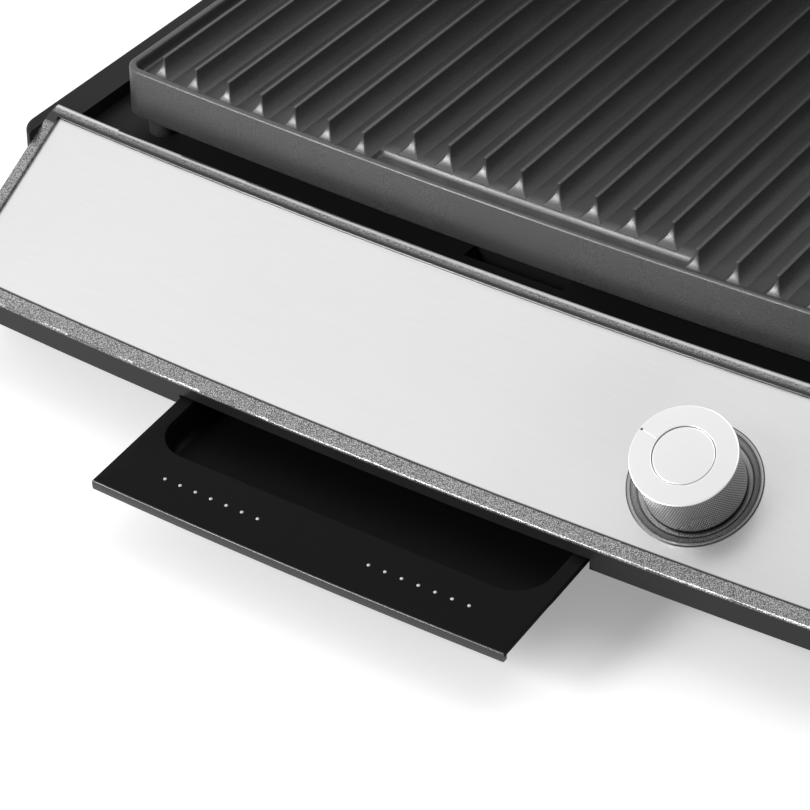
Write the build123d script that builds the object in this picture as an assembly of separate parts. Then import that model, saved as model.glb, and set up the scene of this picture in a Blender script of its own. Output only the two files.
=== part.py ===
"""Contact grill with a hinged, self-levelling lid, a front console and a pull-out drip tray.

Millimetres. X runs to the right, Y to the back and Z up. Everything is built where it stands with the lid
shut, the lid is swung open about its hinge, and the whole is then moved along Y, so that the origin lies
on the table under the middle of the open grill with its tray pulled out.
"""
from build123d import *
from math import atan, cos, degrees, radians, sin, tan
import os

os.makedirs("parts", exist_ok=True)

# Base, seen from above
console_side_step = 6.0
tower_cover = 5.5
front_y = -170.0
body_front_lap = 13.42
body_rear_step = 35.0
bow_radius = 2880.0
corner_radius = 10.0

# Base heights
pan_bottom_z = 7.0
pan_wall = 2.5
seam_height = 15.0
nose_step = 2.5
fascia_height = 8.8
deck_floor_z = 62.0
deck_rim_height = 5.5
deck_edge_round = 1.6
gate_gap = 12.0
gate_depth = 8.0
rim_width = 14.0
shell_wall = 2.5
foot_radius = 9.0
foot_inset_x = 30.0
rear_foot_inset = 18.0
foot_recess = 1.5
foot_chamfer = 1.0
nose_lap = 40.0
nose_overlap = 8.0
pan_mouth_z = 15.0

# Console slope, its frame and its steel panel
slope_deg = 29.5
front_rail = 5.2
side_rail = 4.2
panel_length = 68.7
back_rail = 7.1
back_rail_rise = 1.1
panel_recess = 1.2
panel_thickness = 1.0
ledge = 3.6
ledge_thickness = 2.0
panel_gap = 0.15
rail_round = 1.1
panel_round = 0.6

# Knob and thermostat
knob_side_inset = 87.6
knob_slope = 28.1
knob_height = 19.2
knob_radius = 17.9
knob_foot_radius = 17.0
knob_wall = 1.6
knob_taper = 0.5
knob_hollow = 5.0
cap_thickness = 1.6
cap_round = 0.4
inset_radius = 10.4
inset_depth = 0.5
inset_edge = 0.25
inset_gap = 0.2
dish_radius = 22.6
dish_depth = 2.6
dish_floor_radius = 18.6
dish_wall = 0.8
dish_flange = 1.1
dish_rise = 0.4
dish_step = 0.5
dish_hole_gap = 3.2
dish_pit_inset = 2.0
dish_pit_bevel = 0.4
dish_bevel = 0.7
dish_edge = 0.3
dish_edge_drop = 0.25
knob_lift = 1.0
spindle_radius = 3.0
spindle_clearance = 0.05
spindle_tail = 4.0
thermostat_radius = 14.0
thermostat_height = 18.0
bush_wall = 1.6
tab_x = 5.0
tab_size = (5.0, 0.8, 6.0)
nut_radius = 6.5
nut_height = 3.0
bracket_thickness = 1.2
strap_half_width = 11.0
strap_foot = 8.0
strap_end_gap = 2.16
strap_seat_gap = 0.02

# Cooking plates
plate_half_width = 168.0
plate_gap = 10.38
plate_length = 225.2
plate_corner = 7.0
plate_edge_round = 0.8
plate_wall = 3.0
plate_floor = 4.0
plate_height = 19.0
skirt_clearance = 7.6
rib_pitch = 14.8
rib_side_gap = 5.4
short_ribs_per_side = 4
rib_height = 8.0
rib_stand = 3.4
rib_top_width = 1.4
rib_foot_width = 8.4
rib_waist = 0.26
rib_waist_height = 0.36
rib_root = 1.0
rib_end_flare = 4.2
rib_flare_waist = 0.3
rib_inset = 9.5
short_rib_step = 10.1
rib_rear_gap = 5.0
trough_half_width = 62.0
trough_width = 12.0
trough_depth = 1.8
drain_length = 34.0
drain_width = 6.0
drain_setback = 1.0
chute_side_gap = 3.0
chute_end_gap = 1.0
chute_wall = 1.8
chute_drop = 20.0
shut_gap = 1.0
plate_post_radius = 5.0
plate_post_inset = 12.0

# Heating elements and their reflectors
tube_radius = 3.5
tube_bend = 14.0
element_side_inset = 18.0
element_front_inset = 12.0
element_rear_inset = 30.0
element_end_inset = 14.0
element_mouth = 20.0
element_gap = 0.2
cold_end_drop = 30.0
reflector_thickness = 0.8
reflector_side_inset = 18.0
reflector_lip = 10.0
reflector_front_inset = 18.2
reflector_rear_inset = 15.0
reflector_depth = 8.0
reflector_hole_gap = 1.0
clip_width = 12.0
clip_depth = 9.0
cutout_radius = 7.0
cutout_height = 8.0
cutout_x = 60.0
cutout_y = 20.0
cutout_tab_x = 4.0
cutout_tab_size = (0.8, 4.0, 5.0)

# Drip tray and its rails
tray_length = 150.0
tray_flange = 2.0
tray_lip_height = 3.8
tray_lip_thickness = 2.2
tray_reach = 50.7
tray_edge_round = 0.4
tray_tilt = 0.075
tray_top_at_fascia_z = 28.1
well_side_margin = 5.5
well_front = 26.5
well_rear_margin = 8.0
well_depth = 10.0
well_wall = 2.0
well_corner = 13.0
well_taper_deg = 6.0
slot_side_gap = 1.0
slot_headroom = 0.5
rail_setback = 28.0
rail_length = 118.0
rail_wall = 4.2
rail_side_gap = 1.05
rail_well_gap = 1.0
rail_thermostat_gap = 2.35
rail_lap = 2.6
rail_ledge_gap = 0.3
rail_guide_gap = 0.5
rail_flange = 2.2
nose_margin = 1.5

# Hinge, arms and handle
hinge_rear_inset = 22.0
hinge_rise = 4.0
open_deg = 100.0
pin_radius = 4.0
pin_clearance = 0.05
pin_head_radius = 6.8
pin_head = 2.4
pin_head_depth = 0.6
arm_gap = 5.4
arm_thickness = 9.6
hub_radius = 12.0
pivot_radius_out = 10.0
arm_end_radius = 10.0
arm_edge = 1.5
washer_radius = 8.0
washer_gap = 0.2
washer_thickness = 0.8
bracket_plate = 2.5
bracket_half_width = 12.0
bracket_foot = 18.0
tower_half_width = 15.0
tower_top_radius = 15.0
tower_round = 2.0
tower_root = 5.0
handle_front_step = 37.0
handle_rise = 16.0
handle_bar_radius = 7.0
grip_radius = 13.0
grip_length = 216.0
grip_round = 3.5
end_cap = 2.2

# Lid
lid_side_lap = 4.0
lid_front_lap = 3.8
lid_rear_lap = 4.0
lid_corner = 9.0
carrier_rise = 39.0
shell_height = 25.0
lid_edge_round = 8.4
lid_wall = 2.5
top_panel_inset = 24.0
top_panel_thickness = 1.0
top_panel_corner = 12.0
top_panel_rise = 0.4
top_panel_gap = 0.2
top_panel_round = 0.3
pivot_rear_step = 1.5
pivot_rise = 11.0
stud_radius = 5.0
stud_head_radius = 8.0
stud_head = 2.6
stud_gap = 0.3
lug_half_width = 13.0
lug_gap = 0.4
lug_root = 6.0
lid_screw_inset_x = 9.0
lid_screw_inset_y = 40.0
lid_screw_depth = 14.0

# Release latches
latch_width = 24.0
latch_height = 6.0
latch_travel = 3.0
latch_gap = 0.4
latch_flush = 0.2
latch_leg = 3.0
latch_nose = 4.2
latch_button = 5.0
latch_hook = 2.2
latch_root = 1.0
latch_ceiling_gap = 1.5
latch_end_gap = 1.5
latch_wall_cut = 12.0
upper_latch_inset = 52.0
lower_latch_y = 40.0
pad_front = 0.5
pad_side = 9.0
pad_drop = 4.5
dimple_side = 5.0
dimple_drop = 3.0
keeper_depth = 4.0
keeper_height = 2.4
keeper_half_width = 6.0
keeper_gap = 0.8
spring_thickness = 0.5
spring_width = 26.0
spring_inset = 0.5
lower_spring_length = 8.0
upper_spring_length = 5.0
spring_stop = 2.0

# Small fittings
screw_radius = 1.7
screw_head_radius = 3.2
screw_head = 2.0
screw_length = 18.0
screw_tip_gap = 4.0
counterbore = 1.0
screw_head_gap = 0.3
small_round = 0.8
boss_radius = 4.5
boss_side_inset = 36.0
boss_front_inset = 28.0
boss_rear_inset = 54.0
gland_bore = 3.7
gland_radius = 6.0
gland_flange = 9.0
gland_flange_thickness = 2.5
gland_lap = 3.0
gland_x = -120.0
gland_z = 40.0
wire_radius = 1.3
wire_bend = 10.0
wire_detour = 24.0
wire_lift = 1.0
wire_end_gap = 0.4
lead_inset = 5.0
lead_rise = 4.0
terminal_x = -96.0
terminal_rear_inset = 44.0
terminal_size = (34.0, 16.0, 14.0)
terminal_hole_radius = 3.0
terminal_hole_depth = 3.0
vent_length = 30.0
vent_width = 3.0
vent_pitch = 9.0
vent_y = 40.0
vents_per_row = 6

# How far cutting shapes run past what they cut
cut_past = 1.0
cut_clear = 9.0
far = 600.0

# Places that follow from the sizes
lid_half_width = plate_half_width + lid_side_lap
arm_inner_x = lid_half_width + arm_gap
arm_outer_x = arm_inner_x + arm_thickness
bracket_inner_x = arm_outer_x + washer_gap + washer_thickness
bracket_outer_x = bracket_inner_x + bracket_plate
body_half_width = bracket_outer_x + tower_cover
console_half_width = body_half_width - console_side_step
knob_x = console_half_width - knob_side_inset
boss_x = body_half_width - boss_side_inset
reflector_half_width = plate_half_width - reflector_side_inset
element_half_width = reflector_half_width - element_side_inset
upper_latch_x = upper_latch_inset - lid_half_width
rail_outer_x = knob_x - thermostat_radius - rail_thermostat_gap
rail_wall_x = rail_outer_x - rail_wall
tray_half_width = rail_wall_x - rail_side_gap
well_half_width = tray_half_width - well_side_margin
slot_half_width = tray_half_width + slot_side_gap
rib_room = plate_half_width - plate_wall - rib_side_gap
ribs_per_side = int(rib_room / rib_pitch + 0.5)

slope = radians(slope_deg)
tilt_deg = degrees(atan(tray_tilt))
bow_centre = (0, front_y + bow_radius, 0)
bow_axis = Axis(bow_centre, (0, 0, 1))
bow_deg = 5.0
seam_z = pan_bottom_z + seam_height
fascia_bottom_z = seam_z + nose_step
rail_front_z = fascia_bottom_z + fascia_height
panel_front_y = front_y + front_rail * cos(slope)
panel_front_z = rail_front_z + front_rail * sin(slope)
panel_rear_y = panel_front_y + panel_length * cos(slope)
panel_rear_z = panel_front_z + panel_length * sin(slope)
console_rear_y = panel_rear_y + back_rail
console_top_z = panel_rear_z + back_rail_rise
body_front_y = console_rear_y - body_front_lap
plate_front_y = console_rear_y + plate_gap
plate_rear_y = plate_front_y + plate_length
body_rear_y = plate_rear_y + body_rear_step
front_foot_y = body_front_y
rear_foot_y = body_rear_y - rear_foot_inset
boss_front_y = body_front_y + boss_front_inset
boss_rear_y = body_rear_y - boss_rear_inset
terminal_y = body_rear_y - terminal_rear_inset
rail_front_y = front_y + rail_setback
long_rib_y = plate_front_y + rib_inset
short_rib_y = long_rib_y + short_rib_step
reflector_front_y = plate_front_y + reflector_front_inset
reflector_rear_y = plate_rear_y - reflector_rear_inset
element_front_y = reflector_front_y + element_front_inset
element_rear_y = reflector_rear_y - element_rear_inset
element_end_y = reflector_rear_y - element_end_inset
lid_front_y = plate_front_y - lid_front_lap
lid_rear_y = plate_rear_y + lid_rear_lap
pivot_y = (lid_front_y + lid_rear_y) / 2 + pivot_rear_step
hinge_y = body_rear_y - hinge_rear_inset
handle_y = lid_front_y - handle_front_step
deck_rim_z = deck_floor_z + deck_rim_height
skirt_z = deck_floor_z + skirt_clearance
rim_z = skirt_z + plate_height
rib_top_z = rim_z + rib_stand
hinge_z = rib_top_z + hinge_rise
handle_z = hinge_z + handle_rise
pivot_z = hinge_z + pivot_rise
carrier_top_z = hinge_z + carrier_rise
lid_top_z = carrier_top_z + shell_height
plate_floor_z = rib_top_z - rib_height
plate_under_z = plate_floor_z - plate_floor
shut_plane_z = rib_top_z + shut_gap / 2
pan_floor_z = pan_bottom_z + pan_wall
deck_under_z = deck_floor_z - shell_wall
hinge_axis = Axis((0, hinge_y, hinge_z), (1, 0, 0))
nose_front_y = rail_front_y - nose_margin - pan_wall


def on_slope(along, above=0.0):
    """Return (y, z) of a point so far up the console's slope and so far above the frame's top."""
    y = panel_front_y + along * cos(slope) - above * sin(slope)
    z = panel_front_z + along * sin(slope) + above * cos(slope)
    return (y, z)


def block(x0, x1, y0, y1, z0, z1):
    """Return a box between two corners."""
    middle = Pos((x0 + x1) / 2, (y0 + y1) / 2, (z0 + z1) / 2)
    return middle * Box(x1 - x0, y1 - y0, z1 - z0)


def rounded_block(x0, x1, y0, y1, z0, z1, radius):
    """Return a box whose upright edges are rounded."""
    outline = Pos((x0 + x1) / 2, (y0 + y1) / 2, z0) * RectangleRounded(x1 - x0, y1 - y0, radius)
    return extrude(outline, z1 - z0)


def rod(start, end, radius):
    """Return a round bar between two points."""
    way = Vector(*end) - Vector(*start)
    return extrude(Plane(origin=start, z_dir=way) * Circle(radius), way.length)


def bowed(profile, half_width, radii=None):
    """Sweep a (y, z) outline along the console's bow and trim it to a half width."""
    if radii:
        wire = FilletPolyline(*profile, radius=radii) + Line(profile[-1], profile[0])
    else:
        wire = Polyline(*profile, close=True)
    face = Plane.YZ * make_face(wire)
    band = revolve(face, bow_axis, 2 * bow_deg).rotate(bow_axis, -bow_deg)
    return band & Box(2 * half_width, 2 * far, 2 * far)


def bow_front(y0, y1, z0, z1, half_width):
    """Return a box whose front face follows the console's bow."""
    profile = [(y0, z0), (y1 + rim_width, z0), (y1 + rim_width, z1), (y0, z1)]
    return bowed(profile, half_width) & block(-half_width, half_width, y0 - 1, y1, z0, z1)


def round_uprights(solid, radius, y_limit=None, rear=False):
    """Round the upright edges, or only those behind a given y."""
    edges = solid.edges().filter_by(Axis.Z)
    if y_limit is not None:
        edges = edges.filter_by(lambda e: (e.center().Y > y_limit) == rear)
    return fillet(edges, radius)


def both_sides(solid):
    """Return a right-hand solid with its mirror image."""
    return Compound([solid, mirror(solid, Plane.YZ)])


def shut_mirror(solid):
    """Turn a piece of the lower half over into its place in the shut lid."""
    turn = Axis((0, 0, shut_plane_z), (0, 1, 0))
    return solid.rotate(turn, 180)


def opened(solid):
    """Swing a piece of the shut lid up to where it rests open."""
    return solid.rotate(hinge_axis, -open_deg)


def save(node, solid):
    """Write a node's solids."""
    solids = solid.solids()
    shape = solids[0] if len(solids) == 1 else Compound(list(solids))
    export_step(shape, f"parts/{node}.step")


def front_bezel():
    """Frame round the steel panel, with the fascia under it and the cut-out for the tray."""
    crest = (console_rear_y, console_top_z)
    outline = [(front_y, fascia_bottom_z), (front_y, rail_front_z), on_slope(panel_length), crest]
    outline += [(console_rear_y, fascia_bottom_z)]
    radii = [rail_round, panel_round, 2 * rail_round]
    shell = bowed(outline, console_half_width, radii)
    under = -panel_recess - panel_thickness
    wall_front = front_y + shell_wall
    wall_rear = console_rear_y - shell_wall
    roof = under - ledge_thickness
    front_roof = on_slope((wall_front - on_slope(0, roof)[0]) / cos(slope), roof)
    rear_roof = on_slope((wall_rear - on_slope(0, roof)[0]) / cos(slope), roof)
    low = fascia_bottom_z - cut_past
    cavity = bowed([(wall_front, low), front_roof, rear_roof, (wall_rear, low)],
                   console_half_width - shell_wall)
    window = bowed([on_slope(0, under), on_slope(0, cut_clear), on_slope(panel_length, cut_clear),
                    on_slope(panel_length, under)], console_half_width - side_rail)
    hole_front = ledge
    hole_rear = panel_length - ledge
    hole = bowed([on_slope(hole_front, roof - cut_past), on_slope(hole_front, under + cut_past),
                  on_slope(hole_rear, under + cut_past), on_slope(hole_rear, roof - cut_past)],
                 console_half_width - side_rail - ledge)
    rear_opening = block(-far, far, wall_rear - rim_width, console_rear_y + rim_width, 0, deck_under_z)
    rear_opening = rear_opening & Box(2 * (console_half_width - shell_wall), 2 * far, 2 * far)
    shelf_front = wall_front - shell_wall / 2
    shelf_top = fascia_bottom_z + shell_wall
    shelf_rear = nose_front_y + pan_wall
    shelf = bowed([(shelf_front, fascia_bottom_z), (shelf_rear, fascia_bottom_z), (shelf_rear, shelf_top),
                   (shelf_front, shelf_top)], console_half_width - shell_wall / 2)
    shelf = shelf & block(-far, far, -far, shelf_rear, 0, far)
    slot_top = tray_top_at_fascia_z + slot_headroom
    slot = block(-slot_half_width, slot_half_width, front_y - cut_past, shelf_rear + cut_past, 0, slot_top)
    frame = shell - cavity - window - hole - rear_opening
    return frame + shelf - slot


def front_panel():
    """Bowed steel panel in the frame, with the hole for the knob's dish."""
    top = -panel_recess
    under = top - panel_thickness
    ends = [panel_gap, panel_length - panel_gap]
    profile = [on_slope(ends[0], under), on_slope(ends[0], top)]
    profile += [on_slope(ends[1], top), on_slope(ends[1], under)]
    sheet = bowed(profile, console_half_width - side_rail - panel_gap)
    hole = knob_plane() * Cylinder(dish_radius - dish_flange + panel_gap, 2 * cut_clear)
    return sheet - hole


def knob_plane():
    """Return the plane of the knob: on the panel's top, square to the bowed slope there."""
    y, z = on_slope(knob_slope, 0)
    reach = bow_centre[1] - y
    turn = knob_x / reach
    origin = (reach * sin(turn), bow_centre[1] - reach * cos(turn), z)
    normal = (sin(slope) * sin(turn), -sin(slope) * cos(turn), cos(slope))
    return Plane(origin=origin, x_dir=(cos(turn), sin(turn), 0), z_dir=normal)


def turned(profile, plane):
    """Return a solid of revolution about a plane's normal, from (radius, height) points."""
    face = Plane.XZ * make_face(Polyline(*profile, close=True))
    return plane * revolve(face, Axis.Z, 360)


def knob_dish():
    """Stepped metal dish that the knob sits in."""
    top = dish_rise - panel_recess
    floor = -dish_depth
    step = floor + dish_step
    inner = spindle_radius + dish_hole_gap
    pit = knob_foot_radius - dish_pit_inset
    ring = dish_floor_radius + dish_wall
    seat = dish_radius - dish_flange
    profile = [(inner, floor), (pit, floor), (pit + dish_pit_bevel, step), (dish_floor_radius, step)]
    profile += [(dish_floor_radius + dish_bevel, step + dish_step), (seat - dish_edge, top - dish_edge_drop)]
    profile += [(seat, top), (dish_radius, top), (dish_radius, -panel_recess), (seat, -panel_recess)]
    profile += [(seat, -panel_recess - dish_wall), (ring, step - dish_wall), (ring, floor - dish_wall)]
    profile += [(inner, floor - dish_wall)]
    return turned(profile, knob_plane())


def knob_pieces():
    """Return the knob's skirt, cap, inset disc and the thermostat's spindle."""
    plane = knob_plane()
    low = -dish_depth + knob_lift
    skirt_top = knob_height - cap_thickness
    bore = spindle_radius
    hollow = knob_foot_radius - knob_wall
    skirt = turned([(bore, low + knob_hollow), (hollow, low + knob_hollow), (hollow, low),
                    (knob_foot_radius, low), (knob_radius - knob_taper, skirt_top), (bore, skirt_top)], plane)
    seat = knob_height - 2 * inset_depth
    cap = turned([(0, skirt_top), (knob_radius - cap_round, skirt_top), (knob_radius, skirt_top + cap_round),
                  (knob_radius, knob_height - cap_round), (knob_radius - cap_round, knob_height),
                  (inset_radius, knob_height), (inset_radius, seat), (0, seat)], plane)
    rim = inset_radius - inset_gap
    top = knob_height - inset_depth
    inset = turned([(0, seat), (rim, seat), (rim, top - inset_edge), (rim - inset_edge, top), (0, top)],
                   plane)
    low = -dish_depth - nut_height - bracket_thickness - spindle_tail
    spindle = plane * Pos(0, 0, low) * Cylinder(spindle_radius, skirt_top - low,
                                                align=(Align.CENTER, Align.CENTER, Align.MIN))
    return skirt, cap, inset, spindle


def thermostat_pieces():
    """Return the thermostat's body, its bracket across the frame's ledges and its nut."""
    plane = knob_plane()
    bush_radius = spindle_radius + bush_wall
    nut_low = -dish_depth - dish_wall - nut_height
    bracket_low = nut_low - bracket_thickness
    passage = plane * Cylinder(spindle_radius + spindle_clearance, far)
    bush = plane * Pos(0, 0, bracket_low) * Cylinder(bush_radius, nut_height + bracket_thickness,
                                                     align=(Align.CENTER, Align.CENTER, Align.MIN))
    case = plane * Pos(0, 0, bracket_low) * Cylinder(thermostat_radius, thermostat_height,
                                                     align=(Align.CENTER, Align.CENTER, Align.MAX))
    tab = Box(*tab_size, align=(Align.CENTER, Align.CENTER, Align.MAX))
    tabs = Pos(-tab_x, 0, 0) * tab + Pos(tab_x, 0, 0) * tab
    tabs = plane * Pos(0, 0, bracket_low - thermostat_height) * tabs
    body = bush + case + tabs - passage
    nut = plane * Pos(0, 0, nut_low) * extrude(RegularPolygon(nut_radius, 6), nut_height)
    nut = nut - plane * Cylinder(bush_radius, far)
    half = strap_half_width
    under = -panel_recess - panel_thickness - ledge_thickness
    seat = under - strap_seat_gap
    front = strap_end_gap - knob_slope
    rear = panel_length - knob_slope - strap_end_gap
    leg_front = front + strap_foot
    leg_rear = rear - strap_foot
    bracket = block(-half, half, leg_front, leg_rear, bracket_low, nut_low)
    bracket += block(-half, half, leg_front, leg_front + bracket_thickness, nut_low, under)
    bracket += block(-half, half, leg_rear - bracket_thickness, leg_rear, nut_low, under)
    bracket += block(-half, half, front, leg_front, seat - bracket_thickness, seat)
    bracket += block(-half, half, leg_rear, rear, seat - bracket_thickness, seat)
    bracket = plane * bracket - plane * Cylinder(bush_radius, far)
    return body, bracket, nut


def tray_place():
    """Return the drip tray's frame: its lip's top edge, with the slope that it slides along."""
    z = tray_top_at_fascia_z - tray_tilt * tray_reach
    return Pos(0, front_y - tray_reach, z) * Rot(tilt_deg, 0, 0)


def tray_band(y0, y1, z0, z1, half_width):
    """Return a box in the tray's frame whose front follows the console's bow."""
    radius = bow_radius + tray_reach - y0
    face = Pos(0, y0 + radius) * Circle(radius)
    band = face & Pos(0, (y0 + y1) / 2) * Rectangle(2 * half_width, y1 - y0)
    return Pos(0, 0, z0) * extrude(band, z1 - z0)


def well(half_width, front, rear, depth, radius):
    """Return the tray's well as a drafted block below the flange."""
    outline = Pos(0, (front + rear) / 2) * RectangleRounded(2 * half_width, rear - front, radius)
    return extrude(outline, -depth, taper=well_taper_deg)


def drip_tray():
    """Drip tray: a flat flange with a lip in front and a deep well."""
    flange = tray_band(0, tray_length, -tray_flange, 0, tray_half_width)
    lip = tray_band(0, tray_lip_thickness, -tray_lip_height, 0, tray_half_width)
    rear = tray_length - well_rear_margin
    outer = well(well_half_width + well_wall, well_front - well_wall, rear + well_wall,
                 well_depth + well_wall, well_corner + well_wall)
    inner = well(well_half_width, well_front, rear, well_depth, well_corner)
    tray = flange + lip + outer - inner
    rims = tray.faces().sort_by(Axis.Z)[-1].outer_wire().edges()
    tray = fillet(rims.filter_by(lambda e: e.center().Y < tray_lip_thickness / 2), tray_edge_round)
    return tray_place() * tray


def tray_rails():
    """Channel on each side that the tray's flange slides in."""
    low = -tray_flange - rail_ledge_gap
    high = rail_guide_gap
    ledge_x = well_half_width + well_wall + rail_well_gap
    guide_x = tray_half_width - rail_lap
    start = rail_front_y - (front_y - tray_reach)
    end = start + rail_length
    rail = block(ledge_x, rail_wall_x, start, end, low - rail_flange, low)
    rail += block(guide_x, rail_wall_x, start, end, high, high + rail_flange)
    rail += block(rail_wall_x, rail_outer_x, start, end, -far / 10, high + rail_flange)
    rail = tray_place() * rail
    rail = rail - block(-far, far, -far, far, -far, pan_floor_z)
    return both_sides(rail)


def base_pan():
    """Bottom pan: a tub under the body with a narrower nose under the console."""
    body = rounded_block(-body_half_width, body_half_width, body_front_y, body_rear_y,
                         pan_bottom_z, seam_z, corner_radius)
    nose = block(-console_half_width, console_half_width, nose_front_y, body_front_y + nose_lap,
                 pan_bottom_z, fascia_bottom_z)
    nose = round_uprights(nose, corner_radius, body_front_y)
    hole_x = body_half_width - pan_wall
    body_hole = rounded_block(-hole_x, hole_x, body_front_y + pan_wall, body_rear_y - pan_wall,
                              pan_floor_z, far, corner_radius - pan_wall)
    hole_x = console_half_width - pan_wall
    nose_hole = block(-hole_x, hole_x, nose_front_y + pan_wall, body_front_y + 2 * nose_lap, pan_floor_z, far)
    spare = block(-console_half_width, console_half_width, console_rear_y - nose_overlap, body_rear_y,
                  seam_z, far)
    pan = (body + (nose - spare)) - body_hole - nose_hole
    mouth = block(-slot_half_width, slot_half_width, nose_front_y - cut_past,
                  nose_front_y + pan_wall + cut_past, pan_mouth_z, far)
    pan = pan - mouth
    for x, y in foot_places():
        pan -= Pos(x, y, pan_bottom_z) * Cylinder(foot_radius, 2 * foot_recess)
    for x, y in boss_places():
        pan -= Pos(x, y, pan_bottom_z) * Cylinder(screw_radius, far / 10)
        pan -= Pos(x, y, pan_bottom_z) * Cylinder(screw_head_radius, 2 * counterbore)
    for row in (-1, 1):
        for i in range(vents_per_row):
            x = row * (body_half_width / 2) + (i - (vents_per_row - 1) / 2) * vent_pitch
            pan -= Pos(x, vent_y, pan_bottom_z) * Box(vent_width, vent_length, far / 10)
    return pan


def foot_places():
    """Return the centres of the four feet."""
    x = body_half_width - foot_inset_x
    return [(sx * x, y) for sx in (-1, 1) for y in (front_foot_y, rear_foot_y)]


def boss_places():
    """Return the centres of the four screw bosses."""
    return [(sx * boss_x, y) for sx in (-1, 1) for y in (boss_front_y, boss_rear_y)]


def rubber_feet():
    """Rubber feet let into the pan's floor."""
    height = pan_bottom_z + foot_recess
    foot = Cylinder(foot_radius, height, align=(Align.CENTER, Align.CENTER, Align.MIN))
    foot = chamfer(foot.edges().sort_by(Axis.Z)[0], foot_chamfer)
    return Compound([Pos(x, y, 0) * foot for x, y in foot_places()])


def pan_screws():
    """Screws from under the pan into the deck's bosses."""
    seat = pan_bottom_z + counterbore
    head = Pos(0, 0, seat) * Cylinder(screw_head_radius - screw_head_gap, counterbore,
                                      align=(Align.CENTER, Align.CENTER, Align.MAX))
    shank = Pos(0, 0, seat) * Cylinder(screw_radius, screw_length,
                                       align=(Align.CENTER, Align.CENTER, Align.MIN))
    screw = head + shank
    return Compound([Pos(x, y, 0) * screw for x, y in boss_places()])


def base_deck():
    """Upper housing: rim, sunk floor under the plate, bosses and the hinge towers."""
    outline = rounded_block(-body_half_width, body_half_width, body_front_y, body_rear_y,
                            seam_z, deck_rim_z, corner_radius)
    inner_x = body_half_width - rim_width
    inner_y = body_rear_y - rim_width
    recess = block(-inner_x, inner_x, body_front_y - cut_past, inner_y, deck_floor_z, far)
    recess = round_uprights(recess, corner_radius, 0, True)
    deck = fillet(outline.faces().sort_by(Axis.Z)[-1].edges(), deck_edge_round) - recess
    skin_x = body_half_width - shell_wall
    under = rounded_block(-skin_x, skin_x, console_rear_y + shell_wall, body_rear_y - shell_wall,
                          0, deck_under_z, corner_radius - shell_wall)
    deck -= under
    gutter = rounded_block(-skin_x, skin_x, console_rear_y + shell_wall, body_rear_y - shell_wall,
                           deck_under_z, deck_rim_z - shell_wall, corner_radius - shell_wall)
    gutter -= block(-inner_x - shell_wall, inner_x + shell_wall, body_front_y, inner_y + shell_wall, 0, far)
    deck -= gutter
    ahead = front_y - cut_clear
    console = bowed([(ahead, 0), (console_rear_y, 0), (console_rear_y, far), (ahead, far)],
                    console_half_width)
    deck -= console
    gate_x = boss_x - gate_gap
    deck -= block(-gate_x, gate_x, body_front_y, console_rear_y + gate_depth, 0, deck_under_z)
    deck -= reflector_mouth()
    for x, y in boss_places():
        deck += rod((x, y, pan_floor_z), (x, y, deck_under_z), boss_radius)
        deck -= Pos(x, y, pan_bottom_z) * Cylinder(screw_radius, 2 * (screw_length + screw_tip_gap))
    tower = hinge_tower()
    deck = deck + tower + mirror(tower, Plane.YZ)
    slot = bracket_space()
    deck = deck - slot - mirror(slot, Plane.YZ)
    pins = hinge_pins()
    deck = deck - pins - rod((-far, hinge_y, hinge_z), (far, hinge_y, hinge_z), pin_radius)
    chute = drain_chute()
    deck = deck + chute
    chute_hole = drain_box(0.0) & block(-far, far, -far, far, 0, deck_floor_z + cut_past)
    deck -= chute_hole
    deck += lower_latch_pad()
    latch_space = lower_latch_space()
    deck -= latch_space
    deck += lower_spring_stop()
    gland = rod((gland_x, body_rear_y - cut_clear, gland_z), (gland_x, body_rear_y + cut_clear, gland_z),
                gland_radius)
    return deck - gland


def reflector_mouth():
    """Return the opening that a reflector hangs in."""
    mouth_x = reflector_half_width - reflector_lip
    mouth_front = reflector_front_y + reflector_lip
    mouth_rear = reflector_rear_y - reflector_lip
    return block(-mouth_x, mouth_x, mouth_front, mouth_rear, 0, far)


def drain_box(margin):
    """Return the drain's upright passage, grown by a margin."""
    y = drain_y()
    half = drain_length / 2 + chute_side_gap + margin
    across = drain_width / 2 + chute_end_gap + margin
    return block(-half, half, y - across, y + across, deck_floor_z - chute_drop, deck_floor_z + far)


def drain_y():
    """Return the drain's place behind the plate's front wall."""
    return plate_front_y + plate_wall + drain_width / 2 + drain_setback


def drain_chute():
    """Spout under the deck that leads fat down to the tray."""
    return drain_box(chute_wall) & block(-far, far, -far, far, 0, deck_under_z)


def hinge_tower():
    """Cover over the right-hand hinge bracket, joined to the deck's rim."""
    base = block(bracket_inner_x, body_half_width, hinge_y - tower_half_width, hinge_y + tower_half_width,
                 deck_rim_z - tower_root, hinge_z)
    top = rod((bracket_inner_x, hinge_y, hinge_z), (body_half_width, hinge_y, hinge_z), tower_top_radius)
    tower = base + top
    outer = tower.faces().sort_by(Axis.X)[-1].edges()
    tower = fillet(outer.filter_by(lambda e: e.center().Z > deck_rim_z), tower_round)
    return tower


def bracket_space():
    """Return the room that the right-hand bracket's cheek takes up in the deck."""
    half = bracket_half_width
    cheek = block(bracket_inner_x, bracket_outer_x, hinge_y - half, hinge_y + half, 0, hinge_z)
    return cheek + rod((bracket_inner_x, hinge_y, hinge_z), (bracket_outer_x, hinge_y, hinge_z), half)


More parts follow.
